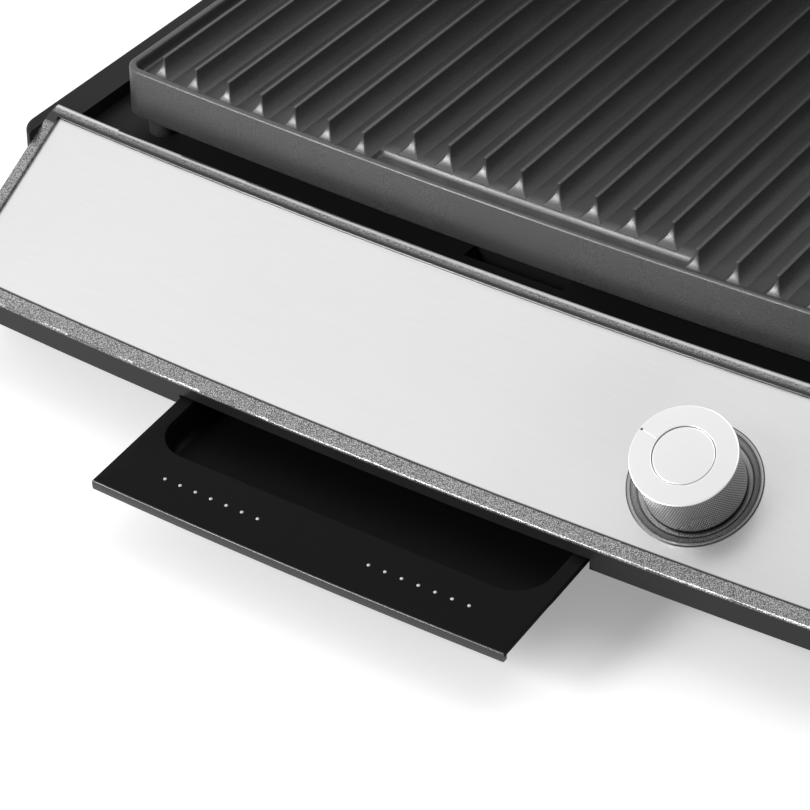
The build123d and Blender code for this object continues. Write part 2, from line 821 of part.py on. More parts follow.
def hinge_brackets():
    """Steel angle on each side that carries the hinge pin."""
    cheek = bracket_space() & block(-far, far, -far, far, pan_floor_z, far)
    foot = block(bracket_inner_x - bracket_foot, bracket_inner_x, hinge_y - bracket_half_width,
                 hinge_y + bracket_half_width, pan_floor_z, pan_floor_z + bracket_plate)
    bracket = cheek + foot
    bracket -= rod((0, hinge_y, hinge_z), (far, hinge_y, hinge_z), pin_radius)
    bracket -= rod((bracket_inner_x - bracket_foot / 2, hinge_y, 0),
                   (bracket_inner_x - bracket_foot / 2, hinge_y, far / 10), screw_radius)
    return both_sides(bracket)


def bracket_screws():
    """Screw through each bracket's foot into the pan."""
    top = pan_floor_z + bracket_plate
    x = bracket_inner_x - bracket_foot / 2
    head = rod((x, hinge_y, top), (x, hinge_y, top + screw_head), screw_head_radius)
    shank = rod((x, hinge_y, pan_floor_z), (x, hinge_y, top), screw_radius)
    return both_sides(head + shank)


def hinge_pins():
    """Shouldered pin on each side, with its heads."""
    head_x = body_half_width - pin_head_depth
    outer = rod((head_x - pin_head, hinge_y, hinge_z), (head_x, hinge_y, hinge_z), pin_head_radius)
    shaft_start = arm_inner_x - washer_gap - pin_head
    shaft = rod((shaft_start, hinge_y, hinge_z), (head_x - pin_head, hinge_y, hinge_z), pin_radius)
    inner = rod((shaft_start, hinge_y, hinge_z), (shaft_start + pin_head, hinge_y, hinge_z),
                pin_head_radius)
    return both_sides(outer + shaft + inner)


def hinge_washers():
    """Washer between each arm's hub and its bracket."""
    start = bracket_inner_x - washer_thickness
    ring = rod((start, hinge_y, hinge_z), (bracket_inner_x, hinge_y, hinge_z), washer_radius)
    ring -= rod((0, hinge_y, hinge_z), (far, hinge_y, hinge_z), pin_radius)
    return both_sides(ring)


def rib(y_front, y_rear):
    """Return one rib with concave flanks and flared ends, its foot on z = 0."""
    top = rib_top_width / 2
    foot = rib_foot_width / 2
    mid_x = top + (foot - top) * rib_waist
    mid_z = rib_height * rib_waist_height
    across = Line((-top, rib_height), (top, rib_height))
    across += ThreePointArc((top, rib_height), (mid_x, mid_z), (foot, 0))
    across += Polyline((foot, 0), (foot, -rib_root), (-foot, -rib_root), (-foot, 0))
    across += ThreePointArc((-foot, 0), (-mid_x, mid_z), (-top, rib_height))
    length = y_rear - y_front + 4 * rib_end_flare
    bar = extrude(Pos(0, (y_front + y_rear) / 2, 0) * (Plane.XZ * make_face(across)), length / 2, both=True)
    flare_mid = rib_end_flare * rib_flare_waist
    rear = y_rear + rib_end_flare
    front = y_front - rib_end_flare
    along = Line((y_front, rib_height), (y_rear, rib_height))
    along += ThreePointArc((y_rear, rib_height), (y_rear + flare_mid, mid_z), (rear, 0))
    along += Polyline((rear, 0), (rear, -rib_root), (front, -rib_root), (front, 0))
    along += ThreePointArc((front, 0), (y_front - flare_mid, mid_z), (y_front, rib_height))
    side = extrude(Plane.YZ * make_face(along), rib_foot_width, both=True)
    return bar & side


def grill_plate():
    """Cast cooking plate of the lower half: walls, floor, ribs, fat trough, drain and seats."""
    shell = bow_front(plate_front_y, plate_rear_y, skirt_z, rim_z, plate_half_width)
    shell = round_uprights(shell, plate_corner)
    rim_edges = shell.faces().sort_by(Axis.Z)[-1].edges()
    shell = fillet(rim_edges, plate_edge_round)
    inner_front = plate_front_y + plate_wall
    inner_rear = plate_rear_y - plate_wall
    inner_x = plate_half_width - plate_wall
    inner_corner = plate_corner - plate_wall
    basin = bow_front(inner_front, inner_rear, plate_floor_z, rim_z + cut_clear, inner_x)
    basin = round_uprights(basin, inner_corner)
    cavity = bow_front(inner_front, inner_rear, skirt_z - cut_past, plate_under_z, inner_x)
    cavity = round_uprights(cavity, inner_corner)
    plate = shell - basin - cavity
    plate -= bow_front(inner_front, inner_front + trough_width, plate_floor_z - trough_depth,
                       plate_floor_z + cut_past, trough_half_width)
    rib_rear = plate_rear_y - plate_wall - rib_rear_gap - rib_end_flare
    for i in range(ribs_per_side):
        x = (i + 0.5) * rib_pitch
        y_front = short_rib_y if i < short_ribs_per_side else long_rib_y
        y_front += x * x / (2 * bow_radius)
        solid = rib(y_front, rib_rear)
        plate += Pos(x, 0, plate_floor_z) * solid
        plate += Pos(-x, 0, plate_floor_z) * solid
    y = drain_y()
    half = drain_width / 2
    plate -= block(-drain_length / 2, drain_length / 2, y - half, y + half, 0, far)
    post_x = plate_half_width - plate_post_inset
    for sx in (-1, 1):
        for py in (plate_front_y + plate_post_inset, plate_rear_y - plate_post_inset):
            plate += rod((sx * post_x, py, deck_floor_z), (sx * post_x, py, plate_under_z), plate_post_radius)
    return plate


def lower_plate():
    """Lower plate, with the keeper that its latch holds on the left skirt."""
    x = -plate_half_width + plate_wall
    keeper = block(x, x + keeper_depth, lower_latch_y - keeper_half_width, lower_latch_y + keeper_half_width,
                   skirt_z, skirt_z + keeper_height)
    return grill_plate() + keeper


def upper_plate():
    """Upper plate, turned over, with its keeper on the front skirt."""
    front = plate_front_y + plate_wall / 2
    rear = plate_front_y + plate_wall + keeper_depth
    keeper = bow_front(front, rear, skirt_z, skirt_z + keeper_height, plate_half_width)
    middle = -upper_latch_x
    keeper &= block(middle - keeper_half_width, middle + keeper_half_width, front, rear, 0, far)
    return shut_mirror(grill_plate() + keeper)


def heating_element():
    """Tubular heating element in one loop, with its two cold ends turned down."""
    z = plate_under_z - element_gap - tube_radius
    half_loop = [(element_mouth, element_end_y), (element_mouth, element_rear_y),
                 (element_half_width, element_rear_y), (element_half_width, element_front_y)]
    loop = [(-x, y, z) for x, y in half_loop] + [(x, y, z) for x, y in reversed(half_loop)]
    path = FilletPolyline(*loop, radius=tube_bend)
    start = Plane(origin=path @ 0, z_dir=path % 0)
    tube = sweep(start * Circle(tube_radius), path)
    for sx in (-1, 1):
        x = sx * element_mouth
        tube += Pos(x, element_end_y, z) * Sphere(tube_radius)
        tube += rod((x, element_end_y, z), (x, element_end_y, z - cold_end_drop), tube_radius)
    return tube


def reflector():
    """Reflector pan under the element, hung in the deck's opening by its lip."""
    low = deck_floor_z - reflector_depth
    pan_x = reflector_half_width - reflector_lip
    pan_front = reflector_front_y + reflector_lip
    pan_rear = reflector_rear_y - reflector_lip
    top = deck_floor_z + reflector_thickness
    sheet = block(-reflector_half_width, reflector_half_width, reflector_front_y, reflector_rear_y,
                  deck_floor_z, top)
    sheet += block(-pan_x, pan_x, pan_front, pan_rear, low, top)
    t = reflector_thickness
    sheet -= block(-pan_x + t, pan_x - t, pan_front + t, pan_rear - t, low + t, far)
    for sx in (-1, 1):
        sheet -= Pos(sx * element_mouth, element_end_y, low) * Cylinder(tube_radius + reflector_hole_gap, far)
    return sheet


def element_clips():
    """Saddles that hold the element up off the reflector."""
    z_low = deck_floor_z - reflector_depth + reflector_thickness
    z_tube = plate_under_z - element_gap - tube_radius
    middle_y = (element_front_y + element_rear_y) / 2
    saddles = []
    for sx in (-1, 1):
        x = sx * element_half_width
        for y in (element_front_y + 2 * tube_bend, element_rear_y - 2 * tube_bend):
            post = block(x - clip_depth / 2, x + clip_depth / 2, y - clip_width / 2, y + clip_width / 2,
                         z_low, z_tube)
            tube = rod((x, middle_y - far, z_tube), (x, middle_y + far, z_tube), tube_radius)
            saddles.append(post - tube)
    return Compound(saddles)


def thermal_cutout():
    """Thermal cut-out under the reflector."""
    top = deck_floor_z - reflector_depth
    can = Pos(cutout_x, cutout_y, top) * Cylinder(cutout_radius, cutout_height,
                                                  align=(Align.CENTER, Align.CENTER, Align.MAX))
    tab = Box(*cutout_tab_size, align=(Align.CENTER, Align.CENTER, Align.MAX))
    tabs = Pos(-cutout_tab_x, 0, 0) * tab + Pos(cutout_tab_x, 0, 0) * tab
    return can + Pos(cutout_x, cutout_y, top - cutout_height) * tabs


def latch(stem, rise):
    """Return a release latch: button, stem, leg and nose, pressed in along X."""
    half = latch_width / 2
    button = block(0, latch_button, -half, half, 0, latch_height)
    button = fillet(button.faces().sort_by(Axis.X)[0].edges(), small_round)
    bar = block(latch_button, stem, -half / 2, half / 2, 0, latch_height)
    leg = block(stem - latch_leg, stem, -half / 4, half / 4, latch_height - latch_root, rise)
    nose = block(stem - latch_leg - latch_nose, stem - latch_leg, -half / 4, half / 4,
                 rise - latch_hook, rise)
    return button + bar + leg + nose


def leaf_spring(length, width):
    """Return a bowed leaf with its crown at x = 0 and its two ends at its length."""
    half = width / 2
    inner = length - spring_thickness
    front = ThreePointArc((inner, -half), (0, 0), (inner, half))
    back = ThreePointArc((length, half), (spring_thickness, 0), (length, -half))
    ends = Line((inner, half), (length, half)) + Line((length, -half), (inner, -half))
    return extrude(make_face(front + back + ends), latch_height - 2 * spring_inset)


def lower_latch_frame():
    """Return the lower latch's outer face, stem length and the height of its nose."""
    z = deck_under_z - latch_height - latch_ceiling_gap
    place = Pos(-body_half_width + latch_flush, lower_latch_y, z)
    inward = plate_wall + keeper_depth + keeper_gap + latch_leg
    stem = body_half_width - latch_flush - plate_half_width + inward
    rise = skirt_z + keeper_height + latch_gap + latch_hook - z
    return place, stem, rise


def lower_latch():
    """Latch on the left of the base that holds the lower plate down."""
    place, stem, rise = lower_latch_frame()
    return place * latch(stem, rise)


def lower_latch_pad():
    """Return the thicker wall behind the lower latch's button."""
    place, stem, rise = lower_latch_frame()
    half = latch_width / 2
    depth = latch_travel + 2 * shell_wall
    return place * block(pad_front, depth, -half - pad_side, half + pad_side, -pad_drop,
                         latch_height + latch_ceiling_gap)


def lower_latch_space():
    """Return the slots in the deck that the lower latch slides through."""
    place, stem, rise = lower_latch_frame()
    half = latch_width / 2
    g = latch_gap
    wall = block(-cut_past, latch_wall_cut, -half - g, half + g, -g, latch_height + g)
    dimple = block(-cut_past, latch_travel, -half - dimple_side, half + dimple_side, -dimple_drop,
                   latch_height + dimple_drop)
    return place * (wall + dimple + latch_slot(stem, rise))


def latch_slot(stem, rise):
    """Return the slot that a latch's leg and nose move in."""
    half = latch_width / 4 / 2 + latch_gap
    start = stem - latch_leg - latch_nose - latch_end_gap
    return block(start, stem + latch_travel + cut_past, -half, half, latch_height, rise + cut_past)


def lower_spring_stop():
    """Post under the deck that the lower latch's spring leans on."""
    place, stem, rise = lower_latch_frame()
    start = stem + lower_spring_length
    top = latch_height + latch_ceiling_gap
    return place * block(start, start + spring_stop, -spring_width / 2, spring_width / 2, 0, top)


def lower_latch_spring():
    """Leaf spring behind the lower latch."""
    place, stem, rise = lower_latch_frame()
    return place * Pos(stem, 0, spring_inset) * leaf_spring(lower_spring_length, spring_width)


def upper_latch_frame():
    """Return the upper latch's outer face, stem length and the depth of its nose."""
    z = 2 * shut_plane_z - (deck_under_z - latch_ceiling_gap)
    bow = upper_latch_x ** 2 / (2 * bow_radius)
    y = lid_front_y + bow - latch_travel
    stem = plate_front_y + bow + plate_wall + keeper_depth + keeper_gap + latch_leg - y
    top = z + latch_height
    rise = top - (2 * shut_plane_z - skirt_z - keeper_height - latch_gap - latch_hook)
    place = Pos(upper_latch_x, y, top) * Location(Plane(origin=(0, 0, 0), x_dir=(0, 1, 0), z_dir=(0, 0, -1)))
    return place, stem, rise


def upper_latch():
    """Latch in the lid's front that holds the upper plate."""
    place, stem, rise = upper_latch_frame()
    return place * latch(stem, rise)


def upper_latch_space():
    """Return the slots in the carrier that the upper latch slides through."""
    place, stem, rise = upper_latch_frame()
    half = latch_width / 2
    g = latch_gap
    wall = block(-2 * cut_past, latch_wall_cut, -half - g, half + g, -g, latch_height + g)
    return place * (wall + latch_slot(stem, rise))


def upper_spring_stop():
    """Post on the carrier that the upper latch's spring leans on."""
    place, stem, rise = upper_latch_frame()
    start = stem + upper_spring_length
    top = latch_height + latch_ceiling_gap
    return place * block(start, start + spring_stop, -spring_width / 2, spring_width / 2, 0, top)


def upper_latch_spring():
    """Leaf spring behind the upper latch."""
    place, stem, rise = upper_latch_frame()
    return place * Pos(stem, 0, spring_inset) * leaf_spring(upper_spring_length, spring_width)


def arm():
    """Right-hand lid arm: hub, pivot eye and handle end, from the hinge to the handle."""
    hub = Pos(hinge_y, hinge_z) * Circle(hub_radius)
    eye = Pos(pivot_y, pivot_z) * Circle(pivot_radius_out)
    tip = Pos(handle_y, handle_z) * Circle(arm_end_radius)
    side = make_hull(hub.edges() + eye.edges()) + make_hull(eye.edges() + tip.edges())
    bar = Pos(arm_inner_x, 0, 0) * extrude(Plane.YZ * side, arm_thickness)
    faces = bar.faces().filter_by(Axis.X)
    bar = fillet(faces.edges(), arm_edge)
    bar -= rod((0, hinge_y, hinge_z), (far, hinge_y, hinge_z), pin_radius + pin_clearance)
    bar -= rod((0, pivot_y, pivot_z), (far, pivot_y, pivot_z), stud_radius + pin_clearance)
    bar -= rod((0, handle_y, handle_z), (far, handle_y, handle_z), handle_bar_radius)
    return bar


def handle_bar():
    """Steel bar between the arms' ends."""
    return rod((-arm_outer_x, handle_y, handle_z), (arm_outer_x, handle_y, handle_z), handle_bar_radius)


def handle_grip():
    """Heat-proof sleeve on the middle of the bar."""
    half = grip_length / 2
    sleeve = rod((-half, handle_y, handle_z), (half, handle_y, handle_z), grip_radius)
    sleeve = fillet(sleeve.edges().filter_by(GeomType.CIRCLE), grip_round)
    return sleeve - rod((-far, handle_y, handle_z), (far, handle_y, handle_z), handle_bar_radius)


def arm_end_caps():
    """Cap over each end of the handle bar."""
    cap = rod((arm_outer_x, handle_y, handle_z), (arm_outer_x + end_cap, handle_y, handle_z),
              arm_end_radius - arm_edge)
    cap = fillet(cap.faces().sort_by(Axis.X)[-1].edges(), small_round)
    return both_sides(cap)


def lid_block(z0, z1, shrink):
    """Return the lid's outline between two heights, drawn in by a wall."""
    half = lid_half_width - shrink
    solid = bow_front(lid_front_y + shrink, lid_rear_y - shrink, z0, z1, half)
    return round_uprights(solid, lid_corner - shrink)


def lid_screw_places():
    """Return the centres of the screws between carrier and cover."""
    x = lid_half_width - lid_screw_inset_x
    ends = (lid_front_y + lid_screw_inset_y, lid_rear_y - lid_screw_inset_y)
    return [(sx * x, y) for sx in (-1, 1) for y in ends]


def lid_carrier():
    """Frame that carries the upper plate and the lid's pivots."""
    seat = 2 * shut_plane_z - deck_floor_z
    rim = 2 * shut_plane_z - deck_rim_z
    frame = lid_block(rim, carrier_top_z, 0)
    frame -= lid_block(rim - cut_past, seat, shell_wall)
    frame -= lid_block(seat + shell_wall, carrier_top_z + cut_past, lid_wall)
    frame -= reflector_mouth()
    lug_start = lid_half_width - lid_wall
    lug_end = arm_inner_x - lug_gap
    lug = block(lug_start, lug_end, pivot_y - lug_half_width, pivot_y + lug_half_width,
                pivot_z, seat + lug_root)
    lug += rod((lug_start, pivot_y, pivot_z), (lug_end, pivot_y, pivot_z), lug_half_width)
    lug -= rod((0, pivot_y, pivot_z), (far, pivot_y, pivot_z), stud_radius)
    frame = frame + lug + mirror(lug, Plane.YZ)
    frame -= upper_latch_space()
    frame += upper_spring_stop()
    for x, y in lid_screw_places():
        frame -= Pos(x, y, seat) * Cylinder(screw_radius, 2 * cut_clear)
    return frame


def lid_pivot_studs():
    """Stud on each side that the lid swivels on in the arms."""
    start = lid_half_width - lid_wall
    seat = arm_outer_x + stud_gap
    shaft = rod((start, pivot_y, pivot_z), (seat, pivot_y, pivot_z), stud_radius)
    head = rod((seat, pivot_y, pivot_z), (seat + stud_head, pivot_y, pivot_z), stud_head_radius)
    head = fillet(head.faces().sort_by(Axis.X)[-1].edges(), small_round)
    return both_sides(shaft + head)


def lid_shell():
    """Cover of the lid, with bosses inside and a seat for the steel top."""
    cover = lid_block(carrier_top_z, lid_top_z, 0)
    cover = fillet(cover.faces().sort_by(Axis.Z)[-1].edges(), lid_edge_round)
    hollow = lid_block(carrier_top_z - cut_past, lid_top_z - lid_wall - top_panel_thickness, lid_wall)
    cover -= hollow
    cover -= top_panel_block(lid_top_z - top_panel_thickness, far, 0)
    low = 2 * shut_plane_z - deck_floor_z + shell_wall
    for x, y in lid_screw_places():
        boss = rod((x, y, low), (x, y, lid_top_z - lid_wall - top_panel_thickness), boss_radius)
        boss -= rod((x, y, low), (x, y, low + lid_screw_depth), screw_radius)
        cover += boss
    return cover


def top_panel_block(z0, z1, gap):
    """Return the outline of the lid's steel top between two heights."""
    inset = top_panel_inset + gap
    half = lid_half_width - inset
    return rounded_block(-half, half, lid_front_y + inset, lid_rear_y - inset, z0, z1, top_panel_corner)


def lid_top_panel():
    """Brushed steel top let into the cover."""
    sheet = top_panel_block(lid_top_z - top_panel_thickness, lid_top_z + top_panel_rise, top_panel_gap)
    return fillet(sheet.faces().sort_by(Axis.Z)[-1].edges(), top_panel_round)


def lid_screws():
    """Screws from the carrier into the cover's bosses."""
    seat = 2 * shut_plane_z - deck_floor_z
    top = seat + shell_wall
    screws = []
    for x, y in lid_screw_places():
        head = rod((x, y, seat - screw_head), (x, y, seat), screw_head_radius)
        screws.append(head + rod((x, y, seat), (x, y, top + lid_screw_depth), screw_radius))
    return Compound(screws)


def cord_gland():
    """Flanged bush in the rear wall where a mains lead would enter."""
    wall_in = body_rear_y - shell_wall
    body = rod((gland_x, wall_in - gland_lap, gland_z), (gland_x, body_rear_y, gland_z), gland_radius)
    flange = rod((gland_x, body_rear_y, gland_z), (gland_x, body_rear_y + gland_flange_thickness, gland_z),
                 gland_flange)
    flange = fillet(flange.faces().sort_by(Axis.Y)[-1].edges(), small_round)
    bore = rod((gland_x, wall_in - cut_clear, gland_z), (gland_x, body_rear_y + cut_clear, gland_z),
               gland_bore)
    return body + flange - bore


def terminal_block():
    """Terminal block on the pan's floor."""
    sx, sy, sz = terminal_size
    top = pan_floor_z + sz
    body = Pos(terminal_x, terminal_y, pan_floor_z + sz / 2) * Box(sx, sy, sz)
    for i in (-1, 0, 1):
        hole = Cylinder(terminal_hole_radius, 2 * terminal_hole_depth)
        body -= Pos(terminal_x + i * sx / 3, terminal_y, top) * hole
    return body


def base_wiring():
    """Wires from the terminal block to the thermostat and to the element's cold ends."""
    z = pan_floor_z + wire_radius + wire_lift
    sx, sy, sz = terminal_size
    plane = knob_plane()
    tab_low = dish_depth + dish_wall + nut_height + bracket_thickness + thermostat_height + tab_size[2]
    spot = plane.from_local_coords(Vector(tab_x, 0, -tab_low))
    start_x = terminal_x + sx / 2
    turn_x = spot.X + wire_detour
    long_way = [(start_x, terminal_y, z), (turn_x, terminal_y, z), (turn_x, spot.Y, z), (spot.X, spot.Y, z)]
    path = FilletPolyline(*long_way, radius=wire_bend)
    wire = sweep(Plane(origin=path @ 0, z_dir=path % 0) * Circle(wire_radius), path)
    wire += Pos(spot.X, spot.Y, z) * Sphere(wire_radius)
    wire += rod((spot.X, spot.Y, z), (spot.X, spot.Y, spot.Z - wire_end_gap), wire_radius)
    end_z = plate_under_z - element_gap - tube_radius - cold_end_drop
    up = pan_floor_z + sz / 2
    leads = [wire]
    for end_x, rise in ((-element_mouth, 0.0), (element_mouth, lead_rise)):
        y = terminal_y - sy / 2 + lead_inset + rise
        z_run = up + rise / 2
        run = rod((start_x, y, z_run), (end_x, y, z_run), wire_radius)
        run += Pos(end_x, y, z_run) * Sphere(wire_radius)
        run += rod((end_x, y, z_run), (end_x, element_end_y, end_z), wire_radius)
        leads.append(run & block(-far, far, -far, far, 0, end_z))
    return Compound(leads)


def base_nodes():
    """Return the nodes that stay with the base."""
    thermostat_body, thermostat_bracket, thermostat_nut = thermostat_pieces()
    return {
        "front_bezel": front_bezel(),
        "front_panel": front_panel(),
        "knob_dish": knob_dish(),
        "base_pan": base_pan(),
        "base_deck": base_deck(),
        "rubber_feet": rubber_feet(),
        "pan_screws": pan_screws(),
        "tray_rails": tray_rails(),
        "cord_gland": cord_gland(),
        "terminal_block": terminal_block(),
        "base_wiring": base_wiring(),
        "thermostat_body": thermostat_body,
        "thermostat_bracket": thermostat_bracket,
        "thermostat_nut": thermostat_nut,
        "thermal_cutout": thermal_cutout(),
        "lower_plate": lower_plate(),
        "lower_element": heating_element(),
        "lower_element_clips": element_clips(),
        "lower_reflector": reflector(),
        "lower_latch": lower_latch(),
        "lower_latch_spring": lower_latch_spring(),
        "hinge_brackets": hinge_brackets(),
        "bracket_screws": bracket_screws(),
        "hinge_pins": hinge_pins(),
        "hinge_washers": hinge_washers(),
        "drip_tray": drip_tray(),
    }


def knob_nodes():
    """Return the nodes that turn with the knob."""
    knob_skirt, knob_cap, knob_inset, thermostat_spindle = knob_pieces()
    return {
        "knob_skirt": knob_skirt,
        "knob_cap": knob_cap,
        "knob_inset": knob_inset,
        "thermostat_spindle": thermostat_spindle,
    }


def lid_nodes():
    """Return the nodes of the arms and the lid, shut."""
    right_arm = arm()
    return {
        "right_arm": right_arm,
        "left_arm": mirror(right_arm, Plane.YZ),
        "handle_bar": handle_bar(),
        "handle_grip": handle_grip(),
        "arm_end_caps": arm_end_caps(),
        "lid_carrier": lid_carrier(),
        "lid_shell": lid_shell(),
        "lid_top_panel": lid_top_panel(),
        "lid_screws": lid_screws(),
        "lid_pivot_studs": lid_pivot_studs(),
        "upper_plate": upper_plate(),
        "upper_element": shut_mirror(heating_element()),
        "upper_element_clips": shut_mirror(element_clips()),
        "upper_reflector": shut_mirror(reflector()),
        "upper_latch": upper_latch(),
        "upper_latch_spring": upper_latch_spring(),
    }


nodes = base_nodes() | knob_nodes()
nodes |= {name: opened(solid) for name, solid in lid_nodes().items()}
boxes = [solid.bounding_box() for solid in nodes.values()]
middle_y = (min(box.min.Y for box in boxes) + max(box.max.Y for box in boxes)) / 2
for name, solid in nodes.items():
    save(name, Pos(0, -middle_y, 0) * solid)

knob = knob_plane()
print("middle_y", round(middle_y, 4))
print("hinge", hinge_y - middle_y, hinge_z)
turn = radians(-open_deg)
back = (pivot_y - hinge_y) * cos(turn) - (pivot_z - hinge_z) * sin(turn)
up = (pivot_y - hinge_y) * sin(turn) + (pivot_z - hinge_z) * cos(turn)
print("lid pivot", round(hinge_y + back - middle_y, 4), round(hinge_z + up, 4))
place = knob.origin - Vector(0, middle_y, 0)
print("knob", [round(v, 4) for v in place], [round(v, 6) for v in knob.z_dir])
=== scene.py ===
"""Finishes, finely meshed pieces, studio and camera for a contact grill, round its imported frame."""

import logging
from dataclasses import dataclass, field, replace
from enum import Enum
from math import atan, atan2, cos, hypot, pi, radians, sin, sqrt, tan
from typing import Callable, Sequence

import bmesh
import bpy
import numpy as np
from mathutils import Matrix, Vector


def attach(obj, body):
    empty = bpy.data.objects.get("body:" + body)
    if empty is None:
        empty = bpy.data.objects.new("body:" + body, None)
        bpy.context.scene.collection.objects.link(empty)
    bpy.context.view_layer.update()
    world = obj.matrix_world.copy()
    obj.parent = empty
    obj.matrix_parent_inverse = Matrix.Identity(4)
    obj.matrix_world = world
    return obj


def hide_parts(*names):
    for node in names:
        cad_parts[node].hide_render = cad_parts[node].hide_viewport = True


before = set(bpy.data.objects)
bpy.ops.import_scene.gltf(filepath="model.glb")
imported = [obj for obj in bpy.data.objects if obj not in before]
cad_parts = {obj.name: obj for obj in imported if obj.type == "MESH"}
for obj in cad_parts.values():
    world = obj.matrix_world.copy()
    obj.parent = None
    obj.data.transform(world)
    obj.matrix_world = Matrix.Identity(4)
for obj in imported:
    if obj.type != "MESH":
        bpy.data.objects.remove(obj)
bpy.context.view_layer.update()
LOG = logging.getLogger("contact_grill")

MM = 0.001
ROW_SHIFT_Y = -16.5242
BOW_RADIUS = 2880.0
CONSOLE_FRONT_Y = -170.0
HINGE_Y = 150.0
HINGE_Z = 96.0
OPEN_DEG = 100.0
SHUT_PLANE_Z = 92.5
CREASE_DEG = 34.0
KNURL_ATTRIBUTE = "knurl_place"
BLEND_MM = 0.12
WEAR_PER_METRE = 22.0
# Colour of the fascia's own smooth dark finish, and of the painted shade in the band along the panel's rear
# edge.
SMOOTH_DARK_AND_SHADE = (0.014, 0.014, 0.0142)
# Colour of a painted highlight.
PAINTED_HIGHLIGHT_PALE = (0.95, 0.95, 0.955)

AT_REST = Matrix.Translation((0, ROW_SHIFT_Y, 0))
HINGE = Matrix.Translation((0, HINGE_Y, HINGE_Z))
LID_OPEN = AT_REST @ HINGE @ Matrix.Rotation(-radians(OPEN_DEG), 4, "X") @ HINGE.inverted()
TURNED_OVER = Matrix.Translation((0, 0, 2 * SHUT_PLANE_Z)) @ Matrix.Rotation(pi, 4, "Y")

Ring = np.ndarray
Socket = bpy.types.NodeSocket
Pair = tuple[float, float]
Point = tuple[float, float, float]


class Grain(Enum):
    """Surface textures that a finish may have."""

    EVEN = "even"
    SPECKLED = "speckled"
    CAST = "cast"
    BRUSHED = "brushed"
    WOVEN = "woven"


@dataclass(frozen=True)
class GrainNoise:
    """Noise that makes one grain.

    Attributes:
        along: How many grains there are along X for each one across.
        octaves: Octaves of noise.
        low: Noise value that counts as 0.
        high: Noise value that counts as 1.
    """

    along: float = 1.0
    octaves: float = 2.0
    low: float = 0.3
    high: float = 0.7


GRAIN_NOISES = {
    Grain.EVEN: GrainNoise(),
    Grain.SPECKLED: GrainNoise(octaves=3.0, low=0.44, high=0.62),
    Grain.CAST: GrainNoise(octaves=4.0, low=0.38, high=0.68),
    Grain.BRUSHED: GrainNoise(along=0.012, octaves=3.0),
}


@dataclass(frozen=True)
class Finish:
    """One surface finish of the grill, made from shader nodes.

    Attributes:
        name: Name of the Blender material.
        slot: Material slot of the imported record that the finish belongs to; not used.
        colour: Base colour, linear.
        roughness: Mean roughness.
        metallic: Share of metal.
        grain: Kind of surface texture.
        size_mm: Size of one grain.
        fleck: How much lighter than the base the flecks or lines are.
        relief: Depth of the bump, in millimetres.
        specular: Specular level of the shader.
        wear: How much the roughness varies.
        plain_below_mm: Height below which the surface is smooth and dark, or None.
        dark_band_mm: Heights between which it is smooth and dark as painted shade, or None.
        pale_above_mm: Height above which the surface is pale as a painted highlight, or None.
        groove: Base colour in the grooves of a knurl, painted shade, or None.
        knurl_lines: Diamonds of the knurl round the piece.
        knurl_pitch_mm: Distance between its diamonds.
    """

    name: str
    slot: str
    colour: Point
    roughness: float
    metallic: float = 0.0
    grain: Grain = Grain.EVEN
    size_mm: float = 0.6
    fleck: float = 0.02
    relief: float = 0.01
    specular: float = 0.5
    wear: float = 0.06
    plain_below_mm: float | None = None
    dark_band_mm: Pair | None = None
    pale_above_mm: float | None = None
    groove: float | None = None
    knurl_lines: int = 0
    knurl_pitch_mm: float = 0.6

    def material(self) -> bpy.types.Material:
        """Return the finish's material, made on the first call."""
        known = bpy.data.materials.get(self.name)
        return known if known else MaterialMaker(self).make()


class NodeTree:
    """Adds and joins the shader nodes of one material or world."""

    def __init__(self, owner: bpy.types.Material | bpy.types.World) -> None:
        """Start an empty tree on its owner."""
        owner.use_nodes = True
        self.tree = owner.node_tree
        self.tree.nodes.clear()

    def node(self, kind: str, **values: object) -> bpy.types.Node:
        """Add a node and set its sockets.

        Args:
            kind: Node type, without the prefix that all shader nodes have.
            **values: Attribute names, or socket names with blanks as underscores.

        Returns:
            The new node.
        """
        made = self.tree.nodes.new("ShaderNode" + kind)
        for key, value in values.items():
            if hasattr(made, key):
                setattr(made, key, value)
            else:
                made.inputs[key.replace("_", " ")].default_value = value
        return made

    def link(self, source: Socket, target: Socket) -> None:
        """Join two sockets."""
        self.tree.links.new(source, target)

    def maths(self, operation: str, first: Socket, second: Socket | float = 0.0) -> Socket:
        """Return the result of a sum on one value, and on another value or a number."""
        made = self.node("Math", operation=operation)
        self.link(first, made.inputs[0])
        if isinstance(second, float):
            made.inputs[1].default_value = second
        else:
            self.link(second, made.inputs[1])
        return made.outputs[0]


